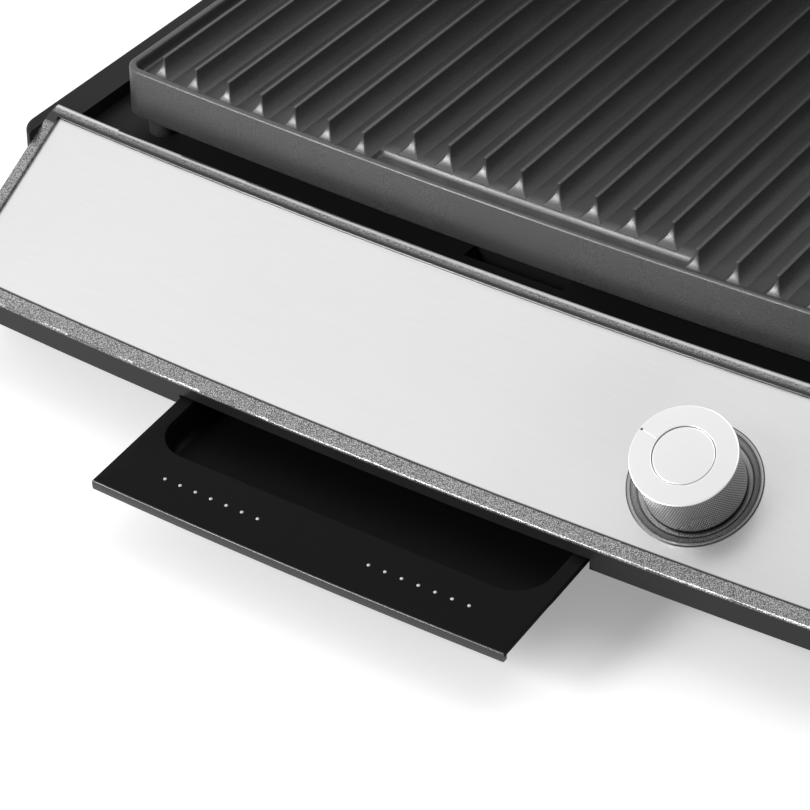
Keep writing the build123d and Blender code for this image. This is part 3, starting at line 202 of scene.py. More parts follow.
class MaterialMaker(NodeTree):
    """Builds the node tree of one finish."""

    def __init__(self, finish: Finish) -> None:
        """Start the material of a finish."""
        self.finish = finish
        self.material = bpy.data.materials.new(finish.name)
        super().__init__(self.material)
        self.shader = self.node("BsdfPrincipled")
        self.link(self.shader.outputs["BSDF"], self.node("OutputMaterial").inputs["Surface"])

    def stretched(self, scale: Sequence[float]) -> Socket:
        """Return object coordinates stretched by a scale for each axis."""
        place = self.node("TexCoord")
        mapping = self.node("Mapping")
        mapping.inputs["Scale"].default_value = tuple(scale)
        self.link(place.outputs["Object"], mapping.inputs["Vector"])
        return mapping.outputs["Vector"]

    def noise(self, scale: Sequence[float], detail: float = 2.0) -> Socket:
        """Return a noise value with so many grains for each metre along each axis."""
        texture = self.node("TexNoise", Scale=1.0, Detail=detail, Roughness=0.55)
        self.link(self.stretched(scale), texture.inputs["Vector"])
        return texture.outputs["Fac"]

    def ranged(self, source: Socket, low: float, high: float,
               from_low: float = 0.3, from_high: float = 0.7) -> Socket:
        """Return a value mapped from a noise's span to a range."""
        mapped = self.node("MapRange", From_Min=from_low, From_Max=from_high, To_Min=low,
                           To_Max=high)
        self.link(source, mapped.inputs["Value"])
        return mapped.outputs["Result"]

    def blended(self, share: Socket, dark: Sequence[float],
                light: Sequence[float]) -> Socket:
        """Return a colour between two by a share."""
        ramp = self.node("ValToRGB")
        ramp.color_ramp.elements[0].color = (*dark, 1.0)
        ramp.color_ramp.elements[1].color = (*light, 1.0)
        self.link(share, ramp.inputs["Fac"])
        return ramp.outputs["Color"]

    def mixed(self, share: Socket, low: Sequence[float],
              high: Socket) -> Socket:
        """Return a colour that goes from a plain one to another surface's by a share."""
        mix = self.node("Mix", data_type="RGBA")
        self.link(share, mix.inputs["Factor"])
        mix.inputs[6].default_value = (*low, 1.0)
        self.link(high, mix.inputs[7])
        return mix.outputs[2]

    def height_share(self, height_mm: float, below: float, above: float) -> Socket:
        """Return one value below a height on the grill and another above it."""
        split = self.node("SeparateXYZ")
        self.link(self.node("TexCoord").outputs["Object"], split.inputs["Vector"])
        low, high = ((height_mm + side * BLEND_MM) * MM for side in (-1, 1))
        return self.ranged(split.outputs["Z"], below, above, low, high)

    def shown_share(self) -> Socket | None:
        """Return 0 where the surface is smooth and dark, below its plain height and in its band of painted
        shade, and 1 elsewhere, or None if it is never dark.
        """
        finish = self.finish
        shares = []
        if finish.plain_below_mm is not None:
            shares.append(self.height_share(finish.plain_below_mm, 0.0, 1.0))
        # This band is painted shade: smooth and dark between two heights.
        if finish.dark_band_mm is not None:
            low, high = finish.dark_band_mm
            under, over = self.height_share(low, 1.0, 0.0), self.height_share(high, 0.0, 1.0)
            shares.append(self.maths("MAXIMUM", under, over))
        if len(shares) == 2:
            return self.maths("MULTIPLY", *shares)
        return shares[0] if shares else None

    def knurl_share(self) -> Socket:
        """Return 0 in a knurl's grooves and 1 on its diamonds, round the piece's own axis."""
        place = self.node("Attribute", attribute_name=KNURL_ATTRIBUTE)
        split = self.node("SeparateXYZ")
        self.link(place.outputs["Vector"], split.inputs["Vector"])
        around = self.maths("MULTIPLY", split.outputs["X"], self.finish.knurl_lines / 2)
        upward = self.maths("MULTIPLY", split.outputs["Y"], pi / self.finish.knurl_pitch_mm)
        waves = [self.maths("ABSOLUTE", self.maths("SINE", self.maths(turn, around, upward)))
                 for turn in ("ADD", "SUBTRACT")]
        diamonds = self.ranged(self.maths("ADD", *waves), 0.0, 1.0, 0.9, 1.8)
        return self.maths("MULTIPLY", diamonds, split.outputs["Z"])

    def grain_value(self) -> Socket:
        """Return the grain's height and colour share, from 0 to 1."""
        rate = 1.0 / (self.finish.size_mm * MM)
        if self.finish.grain is Grain.WOVEN:
            wave = self.node("TexWave", Scale=1.0, Distortion=1.5)
            self.link(self.stretched((rate, rate, rate)), wave.inputs["Vector"])
            return wave.outputs["Fac"]
        kind = GRAIN_NOISES[self.finish.grain]
        noise = self.noise((rate * kind.along, rate, rate), kind.octaves)
        return self.ranged(noise, 0.0, 1.0, kind.low, kind.high)

    def make(self) -> bpy.types.Material:
        """Return the finished material."""
        finish = self.finish
        shader = self.shader
        shader.inputs["Metallic"].default_value = finish.metallic
        shader.inputs["Specular IOR Level"].default_value = finish.specular
        light = tuple(min(1.0, c + finish.fleck) for c in finish.colour)
        grain = self.grain_value()
        colour = self.blended(grain, finish.colour, light)
        # Smooth dark finish below the plain height, and painted shade in the shade band.
        shown = self.shown_share()
        if shown is not None:
            colour = self.mixed(shown, SMOOTH_DARK_AND_SHADE, colour)
            self.link(self.ranged(shown, 0.0, finish.metallic, 0.0, 1.0), shader.inputs["Metallic"])
            grain = self.maths("MULTIPLY", grain, shown)
        # Painted highlight: above this height the colour is pale.
        if finish.pale_above_mm is not None:
            below = self.height_share(finish.pale_above_mm, 1.0, 0.0)
            colour = self.mixed(below, PAINTED_HIGHLIGHT_PALE, colour)
        # Painted shade: the knurl's grooves are darkened in the colour as well as in the bump.
        if finish.groove is not None:
            grain = self.knurl_share()
            colour = self.mixed(grain, (finish.groove,) * 3, colour)
        self.link(colour, shader.inputs["Base Color"])
        soft = self.noise((WEAR_PER_METRE,) * 3, 1.0)
        low = max(0.02, finish.roughness - finish.wear)
        self.link(self.ranged(soft, low, finish.roughness + finish.wear), shader.inputs["Roughness"])
        if finish.relief > 0:
            bump = self.node("Bump", Strength=1.0, Distance=finish.relief * MM)
            self.link(grain, bump.inputs["Height"])
            self.link(bump.outputs["Normal"], shader.inputs["Normal"])
        return self.material


def finish(name: str, slot: str, grey: float, roughness: float, **more: object) -> Finish:
    """Return a finish of a neutral linear grey, with any other fields of Finish."""
    return Finish(name, slot, (grey, grey, grey * 1.01), roughness, **more)


# Above 70.34 mm a painted highlight runs along the rear rail's rounded crest.
# From 68.3 to 69.98 mm the paint is painted shade in the recess along the panel's rear edge.
SPECKLED_PAINT = finish(
    "speckled_paint", "speckled_grey", 0.065, 0.32, metallic=0.75, grain=Grain.SPECKLED, size_mm=0.34,
    fleck=0.42, relief=0.016, wear=0.05, plain_below_mm=32.5, dark_band_mm=(68.3, 69.98),
    pale_above_mm=70.34, specular=0.4)
SPECKLED_SHELL = finish(
    "speckled_shell", "speckled_grey", 0.07, 0.27, metallic=0.75, grain=Grain.SPECKLED, size_mm=0.34,
    fleck=0.42, relief=0.016, wear=0.05, specular=0.4)
BRUSHED_SHEET = finish(
    "brushed_sheet", "steel_sheet", 0.6, 0.3, metallic=1.0, grain=Grain.BRUSHED, size_mm=0.35, fleck=0.025,
    relief=0.001, wear=0.02, plain_below_mm=35.35)
BLACK_HOUSING = finish(
    "black_housing", "body_black", 0.008, 0.5, specular=0.12, size_mm=0.5, fleck=0.006, relief=0.012)
BLACK_TRAY = finish(
    "black_tray", "tray_black", 0.0025, 0.42, specular=0.06, size_mm=0.4, fleck=0.002, relief=0.003)
TRAY_EDGE = finish(
    "polished_tray_edge", "tray_black", 0.01, 0.22, specular=0.8, size_mm=0.4, fleck=0.003, relief=0.001)
DOT_PAINT = finish("tray_dot", "tray_black", 0.5, 0.3, size_mm=0.3, fleck=0.1, relief=0.0)
NON_STICK = finish(
    "non_stick_coating", "non_stick", 0.007, 0.34, specular=0.95, grain=Grain.CAST, size_mm=0.3,
    fleck=0.075, relief=0.02)
CAP_ALUMINIUM = finish(
    "satin_cap", "knob_alu", 0.72, 0.3, metallic=1.0, size_mm=0.3, relief=0.0004, wear=0.02)
POINTER_LINE = replace(CAP_ALUMINIUM, name="pointer_line", colour=(0.95, 0.95, 0.95 * 1.01))
POINTER_SHADE = finish("pointer_shade", "knob_alu", 0.05, 0.5, size_mm=0.2, fleck=0.01)
# Its knurl grooves are darkened with painted shade.
KNURLED_ALUMINIUM = finish(
    "knurled_skirt", "knob_knurl", 0.92, 0.3, metallic=0.75, fleck=0.06, relief=0.1, groove=0.07,
    knurl_lines=124, knurl_pitch_mm=1.9)
# Painted dark reflection: a thin dark ring round the dish's outer edge.
DISH_EDGE_PAINTED_REFLECTION = finish("dish_edge_painted_reflection", "dish_metal", 0.012, 0.3, size_mm=0.3, fleck=0.004, relief=0.001)
DARK_DISH = finish(
    "dark_dish", "dish_metal", 0.3, 0.26, metallic=1.0, size_mm=0.3, fleck=0.015, relief=0.0006, wear=0.03)
ARM_PAINT = finish(
    "arm_paint", "arm_metal", 0.06, 0.42, metallic=0.45, grain=Grain.SPECKLED, size_mm=0.42, fleck=0.4,
    relief=0.02)
BRIGHT_TUBE = finish(
    "bright_tube", "bright_steel", 0.62, 0.16, metallic=1.0, size_mm=0.4, fleck=0.03, relief=0.0006,
    wear=0.04)
ZINC_STEEL = finish(
    "zinc_steel", "zinc_steel", 0.45, 0.34, metallic=1.0, size_mm=1.4, fleck=0.1, relief=0.002)
REFLECTOR_SHEET = finish(
    "reflector_sheet", "mirror_sheet", 0.6, 0.26, metallic=1.0, size_mm=2.5, fleck=0.06, relief=0.004)
SHEATH = finish("heated_sheath", "sheath", 0.06, 0.45, metallic=0.8, size_mm=1.6, fleck=0.06)
GRIP = finish("grip_moulding", "grip_black", 0.012, 0.52, specular=0.3, size_mm=0.5, fleck=0.012, relief=0.02)
RUBBER = finish("foot_rubber", "rubber", 0.012, 0.7, specular=0.25, size_mm=0.7, fleck=0.01, relief=0.02)
BUTTON = finish("button_gloss", "button_black", 0.012, 0.2, fleck=0.004, relief=0.002)
CERAMIC = finish("pale_moulding", "light_ceramic", 0.52, 0.5, size_mm=0.8, fleck=0.08)
SLEEVE = finish(
    "braided_sleeve", "wire_sleeve", 0.3, 0.7, grain=Grain.WOVEN, size_mm=0.9, fleck=0.16, relief=0.05)
SPRING = finish(
    "spring_strip", "spring_steel", 0.5, 0.28, metallic=1.0, grain=Grain.BRUSHED, size_mm=0.4, fleck=0.08,
    relief=0.001)

NODE_FINISHES = {
    SPECKLED_PAINT: ("front_bezel",),
    SPECKLED_SHELL: ("lid_shell",),
    BRUSHED_SHEET: ("front_panel", "lid_top_panel"),
    BLACK_HOUSING: ("base_pan", "base_deck", "tray_rails", "lid_carrier"),
    BLACK_TRAY: ("cord_gland", "arm_end_caps"),
    ARM_PAINT: ("right_arm", "left_arm"),
    BRIGHT_TUBE: ("handle_bar", "lid_pivot_studs"),
    ZINC_STEEL: (
        "pan_screws", "thermostat_bracket", "thermostat_nut", "thermal_cutout", "lower_element_clips",
        "upper_element_clips", "hinge_brackets", "bracket_screws", "hinge_pins", "hinge_washers",
        "thermostat_spindle", "lid_screws"),
    REFLECTOR_SHEET: ("lower_reflector", "upper_reflector"),
    SHEATH: ("lower_element", "upper_element"),
    GRIP: ("handle_grip",),
    RUBBER: ("rubber_feet",),
    BUTTON: ("lower_latch", "upper_latch"),
    CERAMIC: ("terminal_block", "thermostat_body"),
    SLEEVE: ("base_wiring",),
    SPRING: ("lower_latch_spring", "upper_latch_spring"),
}


def placed(name: str, data: bpy.types.ID) -> bpy.types.Object:
    """Return a new object in the scene."""
    made = bpy.data.objects.new(name, data)
    bpy.context.scene.collection.objects.link(made)
    return made


@dataclass
class Skin:
    """Points and faces of one piece while it is made, in millimetres of the shut design.

    Attributes:
        points: Vertices.
        faces: Faces as vertex numbers.
        knurl: For a knurled piece, the radius outside which and the heights between which it is knurled.
    """

    points: list[Point] = field(default_factory=list)
    faces: list[tuple[int, ...]] = field(default_factory=list)
    knurl: Point | None = None

    def add_rings(self, rings: Sequence[Ring], looped: bool = False, capped: bool = True) -> None:
        """Join closed rings of equal length, one to the next.

        Args:
            rings: Arrays of points, each of the same count.
            looped: Whether the last ring joins the first.
            capped: Whether the first and last rings are filled.
        """
        start = len(self.points)
        count = len(rings[0])
        for ring in rings:
            self.points.extend(tuple(map(float, p)) for p in ring)
        pairs = [(i, i + 1) for i in range(len(rings) - 1)]
        if looped:
            pairs.append((len(rings) - 1, 0))
        for a, b in pairs:
            for k in range(count):
                n = (k + 1) % count
                self.faces.append((start + a * count + k, start + a * count + n,
                                   start + b * count + n, start + b * count + k))
        if capped and not looped:
            last = start + (len(rings) - 1) * count
            self.faces.append(tuple(range(start + count - 1, start - 1, -1)))
            self.faces.append(tuple(range(last, last + count)))

    def add_lathe(self, profile: Sequence[Pair], steps: int,
                  centre: Sequence[float] = (0, 0, 0)) -> None:
        """Turn a closed outline about an upright axis.

        Args:
            profile: (radius, height) points. It is closed on itself unless it starts and ends on the axis.
            steps: Points round the circle.
            centre: Place of the axis.
        """
        angles = np.linspace(0, 2 * pi, steps, endpoint=False)
        rings = [np.column_stack((centre[0] + radius * np.cos(angles), centre[1] + radius * np.sin(angles),
                                  np.full(steps, centre[2] + height)))
                 for radius, height in profile if radius > 1e-6]
        self.add_rings(rings, looped=profile[0][0] > 1e-6)

    def add_slab(self, xs: Sequence[float], ts: Sequence[float], top: Callable[[float, float], float],
                 bottom: float, place: Callable[[float, float], float],
                 hole: Callable[[float, float], bool]) -> None:
        """Add a slab on a grid, with any cells left open.

        Args:
            xs: Grid lines across.
            ts: Grid lines from front to back.
            top: Height of the upper face at (x, t).
            bottom: Height of the lower face.
            place: Y of a grid point at (x, t).
            hole: Whether the cell round (x, t) is open.
        """
        start = len(self.points)
        rows = len(ts)
        for x in xs:
            for t in ts:
                self.points.append((x, place(x, t), top(x, t)))
                self.points.append((x, place(x, t), bottom))

        def corner(i: int, j: int, low: int) -> int:
            """Return the number of a grid point."""
            return start + 2 * (i * rows + j) + low

        filled = {(i, j) for i in range(len(xs) - 1) for j in range(rows - 1)
                  if not hole((xs[i] + xs[i + 1]) / 2, (ts[j] + ts[j + 1]) / 2)}
        for i, j in filled:
            loop = [(i, j), (i + 1, j), (i + 1, j + 1), (i, j + 1)]
            self.faces.append(tuple(corner(a, b, 0) for a, b in loop))
            self.faces.append(tuple(corner(a, b, 1) for a, b in reversed(loop)))
            beside = [(i, j - 1), (i + 1, j), (i, j + 1), (i - 1, j)]
            for k, cell in enumerate(beside):
                if cell not in filled:
                    (a, b), (c, d) = loop[k], loop[(k + 1) % 4]
                    self.faces.append((corner(a, b, 0), corner(a, b, 1), corner(c, d, 1), corner(c, d, 0)))

    def piece(self, name: str, body: str, dress: Finish, place: Matrix, replaced: str | None = None,
              crease: float = CREASE_DEG) -> bpy.types.Object:
        """Make the Blender object, dress it and let it ride on a body.

        Args:
            name: Name of the piece.
            body: CAD body that it rides on.
            dress: Its finish.
            place: From the design frame to the row frame, both in millimetres.
            replaced: CAD node that it stands for.
            crease: Angle above which an edge stays sharp, in degrees.

        Returns:
            The object.
        """
        mesh = bpy.data.meshes.new(name)
        scaled = Matrix.Scale(MM, 4) @ place
        mesh.from_pydata([tuple(scaled @ Vector(p)) for p in self.points], [], self.faces)
        work = bmesh.new()
        work.from_mesh(mesh)
        bmesh.ops.recalc_face_normals(work, faces=work.faces)
        work.to_mesh(mesh)
        work.free()
        mesh.shade_smooth()
        mesh.set_sharp_from_angle(angle=radians(crease))
        mesh.materials.append(dress.material())
        if self.knurl:
            self.write_knurl(mesh, *self.knurl)
        made = placed(name, mesh)
        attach(made, body)
        if replaced:
            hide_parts(replaced)
        LOG.info("%s: %d faces on %s", name, len(mesh.polygons), body)
        return made

    def write_knurl(self, mesh: bpy.types.Mesh, radius: float, low: float, high: float) -> None:
        """Keep each face corner's angle, height and share of knurl on the mesh.

        Args:
            mesh: The piece's mesh, with the points of this skin.
            radius: Radius outside which the piece is knurled.
            low: Lower end of the knurl.
            high: Its upper end.
        """
        whole = 2 * pi
        values: list[float] = []
        for face in mesh.polygons:
            corners = [self.points[k] for k in face.vertices]
            first = atan2(corners[0][1], corners[0][0])
            for x, y, z in corners:
                angle = atan2(y, x)
                angle += whole * round((first - angle) / whole)
                values.extend((angle, z, float(hypot(x, y) > radius and low <= z <= high)))
        place = mesh.attributes.new(KNURL_ATTRIBUTE, "FLOAT_VECTOR", "CORNER")
        place.data.foreach_set("vector", values)


def rounded_ring(half: float, front: float, rear: float, radius: float, z: float, *, bow: float = BOW_RADIUS,
                 front_lines: Sequence[float] = (), steps: int = 7) -> Ring:
    """Return a rounded rectangle whose front edge follows the console's bow.

    Args:
        half: Half width.
        front: Y of the front edge at the middle.
        rear: Y of the rear edge.
        radius: Corner radius.
        z: Height.
        bow: Radius of the bow, or 0 for a straight front.
        front_lines: X of the points along the front edge.
        steps: Faces in each corner.

    Returns:
        The points, anticlockwise from the front left corner's end.
    """
    radius = max(radius, 0.05)
    inner = half - radius
    near, far = front + radius, rear - radius
    points: list[Pair] = []

    def between(start: float, end: float) -> Ring:
        """Return the places of a side's points, without its ends."""
        return np.linspace(start, end, 13)[1:-1]

    def arc(cx: float, cy: float, start: float) -> None:
        """Add a corner's points."""
        for k in range(steps + 1):
            a = radians(start + 90 * k / steps)
            points.append((cx + radius * cos(a), cy + radius * sin(a)))

    points.extend((x, front) for x in front_lines or between(-inner, inner))
    arc(inner, near, -90)
    points.extend((half, y) for y in between(near, far))
    arc(inner, far, 0)
    points.extend((x, rear) for x in between(inner, -inner))
    arc(-inner, far, 90)
    points.extend((-half, y) for y in between(far, near))
    arc(-inner, near, 180)
    flat = np.array(points)
    if bow:
        share = np.clip((rear - flat[:, 1]) / (rear - front), 0, 1)
        flat[:, 1] += share * flat[:, 0] ** 2 / (2 * bow)
    return np.column_stack((flat, np.full(len(flat), z)))


def smooth_step(value: float, low: float, high: float) -> float:
    """Return 0 below low, 1 above high and a smooth rise between."""
    t = min(1.0, max(0.0, (value - low) / (high - low)))
    return t * t * (3 - 2 * t)


def three_point_circle(a: Sequence[float], b: Sequence[float], c: Sequence[float]) -> Point:
    """Return the centre and radius of the circle through three points."""
    steps = np.array([(p[0] - a[0], p[1] - a[1]) for p in (b, c)]) * 2
    squares = np.array([p[0] ** 2 - a[0] ** 2 + p[1] ** 2 - a[1] ** 2 for p in (b, c)])
    x, y = np.linalg.solve(steps, squares)
    return float(x), float(y), hypot(a[0] - x, a[1] - y)


@dataclass
class CookingPlate:
    """Cast plate with its rim, fat trough, drain and flared ribs.

    Attributes:
        half_width: Half width of the casting.
        front: Y of its front at the middle.
        rear: Y of its rear.
        corner: Radius of its corners.
        wall: Wall thickness.
        floor_z: Height of the cooking floor.
        under_z: Height of the floor's underside.
        rim_z: Height of the rim.
        skirt_z: Height of the skirt's lower edge.
        rib_pitch: Distance between ribs.
        ribs_per_side: Ribs on each side of the middle.
        short_per_side: Ribs on each side that end behind the trough.
        rib_height: Height of a rib.
        rib_top: Half width of a rib's top.
        rib_foot: Half width of a rib's foot.
        rib_flare: How far a rib's end spreads at its foot.
        side_hollow: How far a rib's side has spread at a third of its height, as a share.
        end_hollow: The same for its ends.
        long_front: Front end of a long rib's top.
        short_front: Front end of a short rib's top.
        rib_rear: Rear end of a rib's top.
        trough_half: Half width of the trough.
        trough_width: Its extent from the wall.
        trough_depth: Its depth.
        drain_half: Half length of the drain.
        drain_span: Start and end of the drain behind the plate's front.
        post_inset: Inset of the posts under the corners.
        post_radius: Their radius.
        deck_z: Height that the posts stand on.
    """

    half_width: float = 168.0
    front: float = -88.2
    rear: float = 137.0
    corner: float = 7.0
    wall: float = 3.0
    floor_z: float = 84.0
    under_z: float = 80.0
    rim_z: float = 88.6
    skirt_z: float = 69.6
    rib_pitch: float = 14.8
    ribs_per_side: int = 11
    short_per_side: int = 4
    rib_height: float = 8.0
    rib_top: float = 0.7
    rib_foot: float = 4.2
    rib_flare: float = 4.2
    side_hollow: float = 0.26
    end_hollow: float = 0.3
    long_front: float = -78.7
    short_front: float = -68.6
    rib_rear: float = 124.8
    trough_half: float = 62.0
    trough_width: float = 15.0
    trough_depth: float = 1.8
    drain_half: float = 17.0
    drain_span: Pair = (4.0, 10.0)
    post_inset: float = 12.0
    post_radius: float = 5.0
    deck_z: float = 62.0

    def trough_share(self, x: float, t: float) -> float:
        """Return how much of the trough's depth there is at a place."""
        across = 1 - smooth_step(abs(x), self.trough_half - 0.8, self.trough_half + 0.8)
        return across * (1 - smooth_step(t, self.trough_width - 1.0, self.trough_width + 0.8))

    def wall_rings(self) -> list[Ring]:
        """Return the rings of the wall's section, from the skirt's outside over the rim and back."""
        top = self.rim_z
        wall = self.wall
        foot = self.floor_z
        outside = [(0.4, self.skirt_z), (0.0, self.skirt_z + 0.4), (0.0, top - 0.8), (0.1, top - 0.4),
                   (0.4, top - 0.1), (0.8, top)]
        inside = [(wall - 1.0, top), (wall - 0.5, top - 0.12), (wall - 0.12, top - 0.5), (wall, top - 1.0)]
        feet = [(wall, foot + 1.5), (wall + 0.15, foot + 0.85), (wall + 0.6, foot + 0.3),
                (wall + 1.6, foot + 0.02), (wall + 1.6, foot - 0.8)]
        under = [(wall, self.under_z - 0.5), (wall, self.skirt_z + 0.4), (wall - 0.4, self.skirt_z)]
        edge = self.trough_half
        near_edge = {side * (edge + d) for side in (-1, 1) for d in (-0.9, 0, 0.9)}
        lines = sorted(set(np.linspace(-154, 154, 23)) | near_edge)
        front_zone = self.front + 25
        rings = []
        for sections in (outside, inside, feet, under):
            for inset, z in sections:
                ring = rounded_ring(self.half_width - inset, self.front + inset, self.rear - inset,
                                    self.corner - inset, z, front_lines=lines)
                for point in ring if sections is feet else ():
                    if point[1] < front_zone:
                        point[2] -= self.trough_depth * self.trough_share(point[0], 0)
                rings.append(ring)
        return rings

    def add_floor(self, skin: Skin) -> None:
        """Add the floor with its trough and drain."""
        inset = 2.4
        edge = self.trough_half
        reach = self.half_width - inset
        xs = set(np.linspace(-reach, reach, 49)) | {-self.drain_half, self.drain_half}
        xs |= {s * (edge + d) for s in (-1, 1) for d in (-0.8, -0.4, 0, 0.4, 0.8)}
        depth = self.rear - self.front
        w = self.trough_width
        ts = {inset, *self.drain_span, w - 1.0, w - 0.5, w, w + 0.4, w + 0.8, 20.0, depth - inset}
        ts |= set(np.linspace(30, depth - 20, 6))

        def place(x: float, t: float) -> float:
            """Return Y on the bowed grid."""
            return self.front + t + (1 - t / depth) * x * x / (2 * BOW_RADIUS)

        def open_cell(x: float, t: float) -> bool:
            """Return whether the drain is here."""
            return abs(x) < self.drain_half and self.drain_span[0] < t < self.drain_span[1]

        skin.add_slab(sorted(xs), sorted(ts),
                      lambda x, t: self.floor_z - self.trough_depth * self.trough_share(x, t),
                      self.under_z, place, open_cell)

    def flank(self, start: float, reach: float, hollow: float, height: float) -> float:
        """Return how far a concave flank stands out at a height.

        Args:
            start: Half width at the top.
            reach: Spread of the flank at its foot, from its top.
            hollow: Share of that spread at a third of the height.
            height: Height above the floor.

        Returns:
            The distance from the rib's middle.
        """
        third = self.rib_height * 0.36
        x, y, radius = three_point_circle((start, self.rib_height), (start + reach * hollow, third),
                                          (start + reach, 0.0))
        return x - sqrt(max(0.0, radius ** 2 - (height - y) ** 2))

    def add_rib(self, skin: Skin, x: float, front: float) -> None:
        """Add one rib as a stack of rounded rectangles."""
        round_over = 0.3
        top = self.rib_height
        heights = [-0.8, 0.0, 0.12, 0.3, 0.6, 1.0, 1.5, 2.1, 2.8, 3.6, 4.5, 5.5, 6.5, top - round_over]
        sections = []
        for height in heights:
            h = max(height, 0.0)
            half = self.flank(self.rib_top, self.rib_foot - self.rib_top, self.side_hollow, h)
            out = self.flank(0.0, self.rib_flare, self.end_hollow, h)
            sections.append((half, out, height))
        for angle in (30, 60, 90):
            back = round_over * (1 - cos(radians(angle)))
            sections.append((self.rib_top - back, -back, top - round_over * (1 - sin(radians(angle)))))
        rings = []
        for half, out, height in sections:
            corner = min(0.45, half * 0.6)
            ring = []
            y0, y1 = front - out, self.rib_rear + out
            for cx, cy, start in ((half - corner, y0 + corner, -90), (half - corner, y1 - corner, 0),
                                  (-half + corner, y1 - corner, 90), (-half + corner, y0 + corner, 180)):
                for k in range(4):
                    a = radians(start + 30 * k)
                    ring.append((x + cx + corner * cos(a), cy + corner * sin(a), self.floor_z + height))
            rings.append(np.array(ring))
        skin.add_rings(rings)

    def build(self, name: str, body: str, node: str, place: Matrix) -> None:
        """Build one casting.

        Args:
            name: Name of the piece.
            body: CAD body that it rides on.
            node: CAD node that it stands for.
            place: From the lower plate's place to this one's.
        """
        skin = Skin()
        skin.add_rings(self.wall_rings(), looped=True)
        self.add_floor(skin)
        for i in range(self.ribs_per_side):
            for side in (-1, 1):
                x = side * (i + 0.5) * self.rib_pitch
                front = self.short_front if i < self.short_per_side else self.long_front
                self.add_rib(skin, x, front + x * x / (2 * BOW_RADIUS))
        reach = self.half_width - self.post_inset
        low = self.deck_z - self.under_z
        for side in (-1, 1):
            for y in (self.front + self.post_inset, self.rear - self.post_inset):
                skin.add_lathe([(0, low), (self.post_radius, low), (self.post_radius, 0.5), (0, 0.5)], 40,
                               (side * reach, y, self.under_z))
        skin.piece(name, body, NON_STICK, place, node)


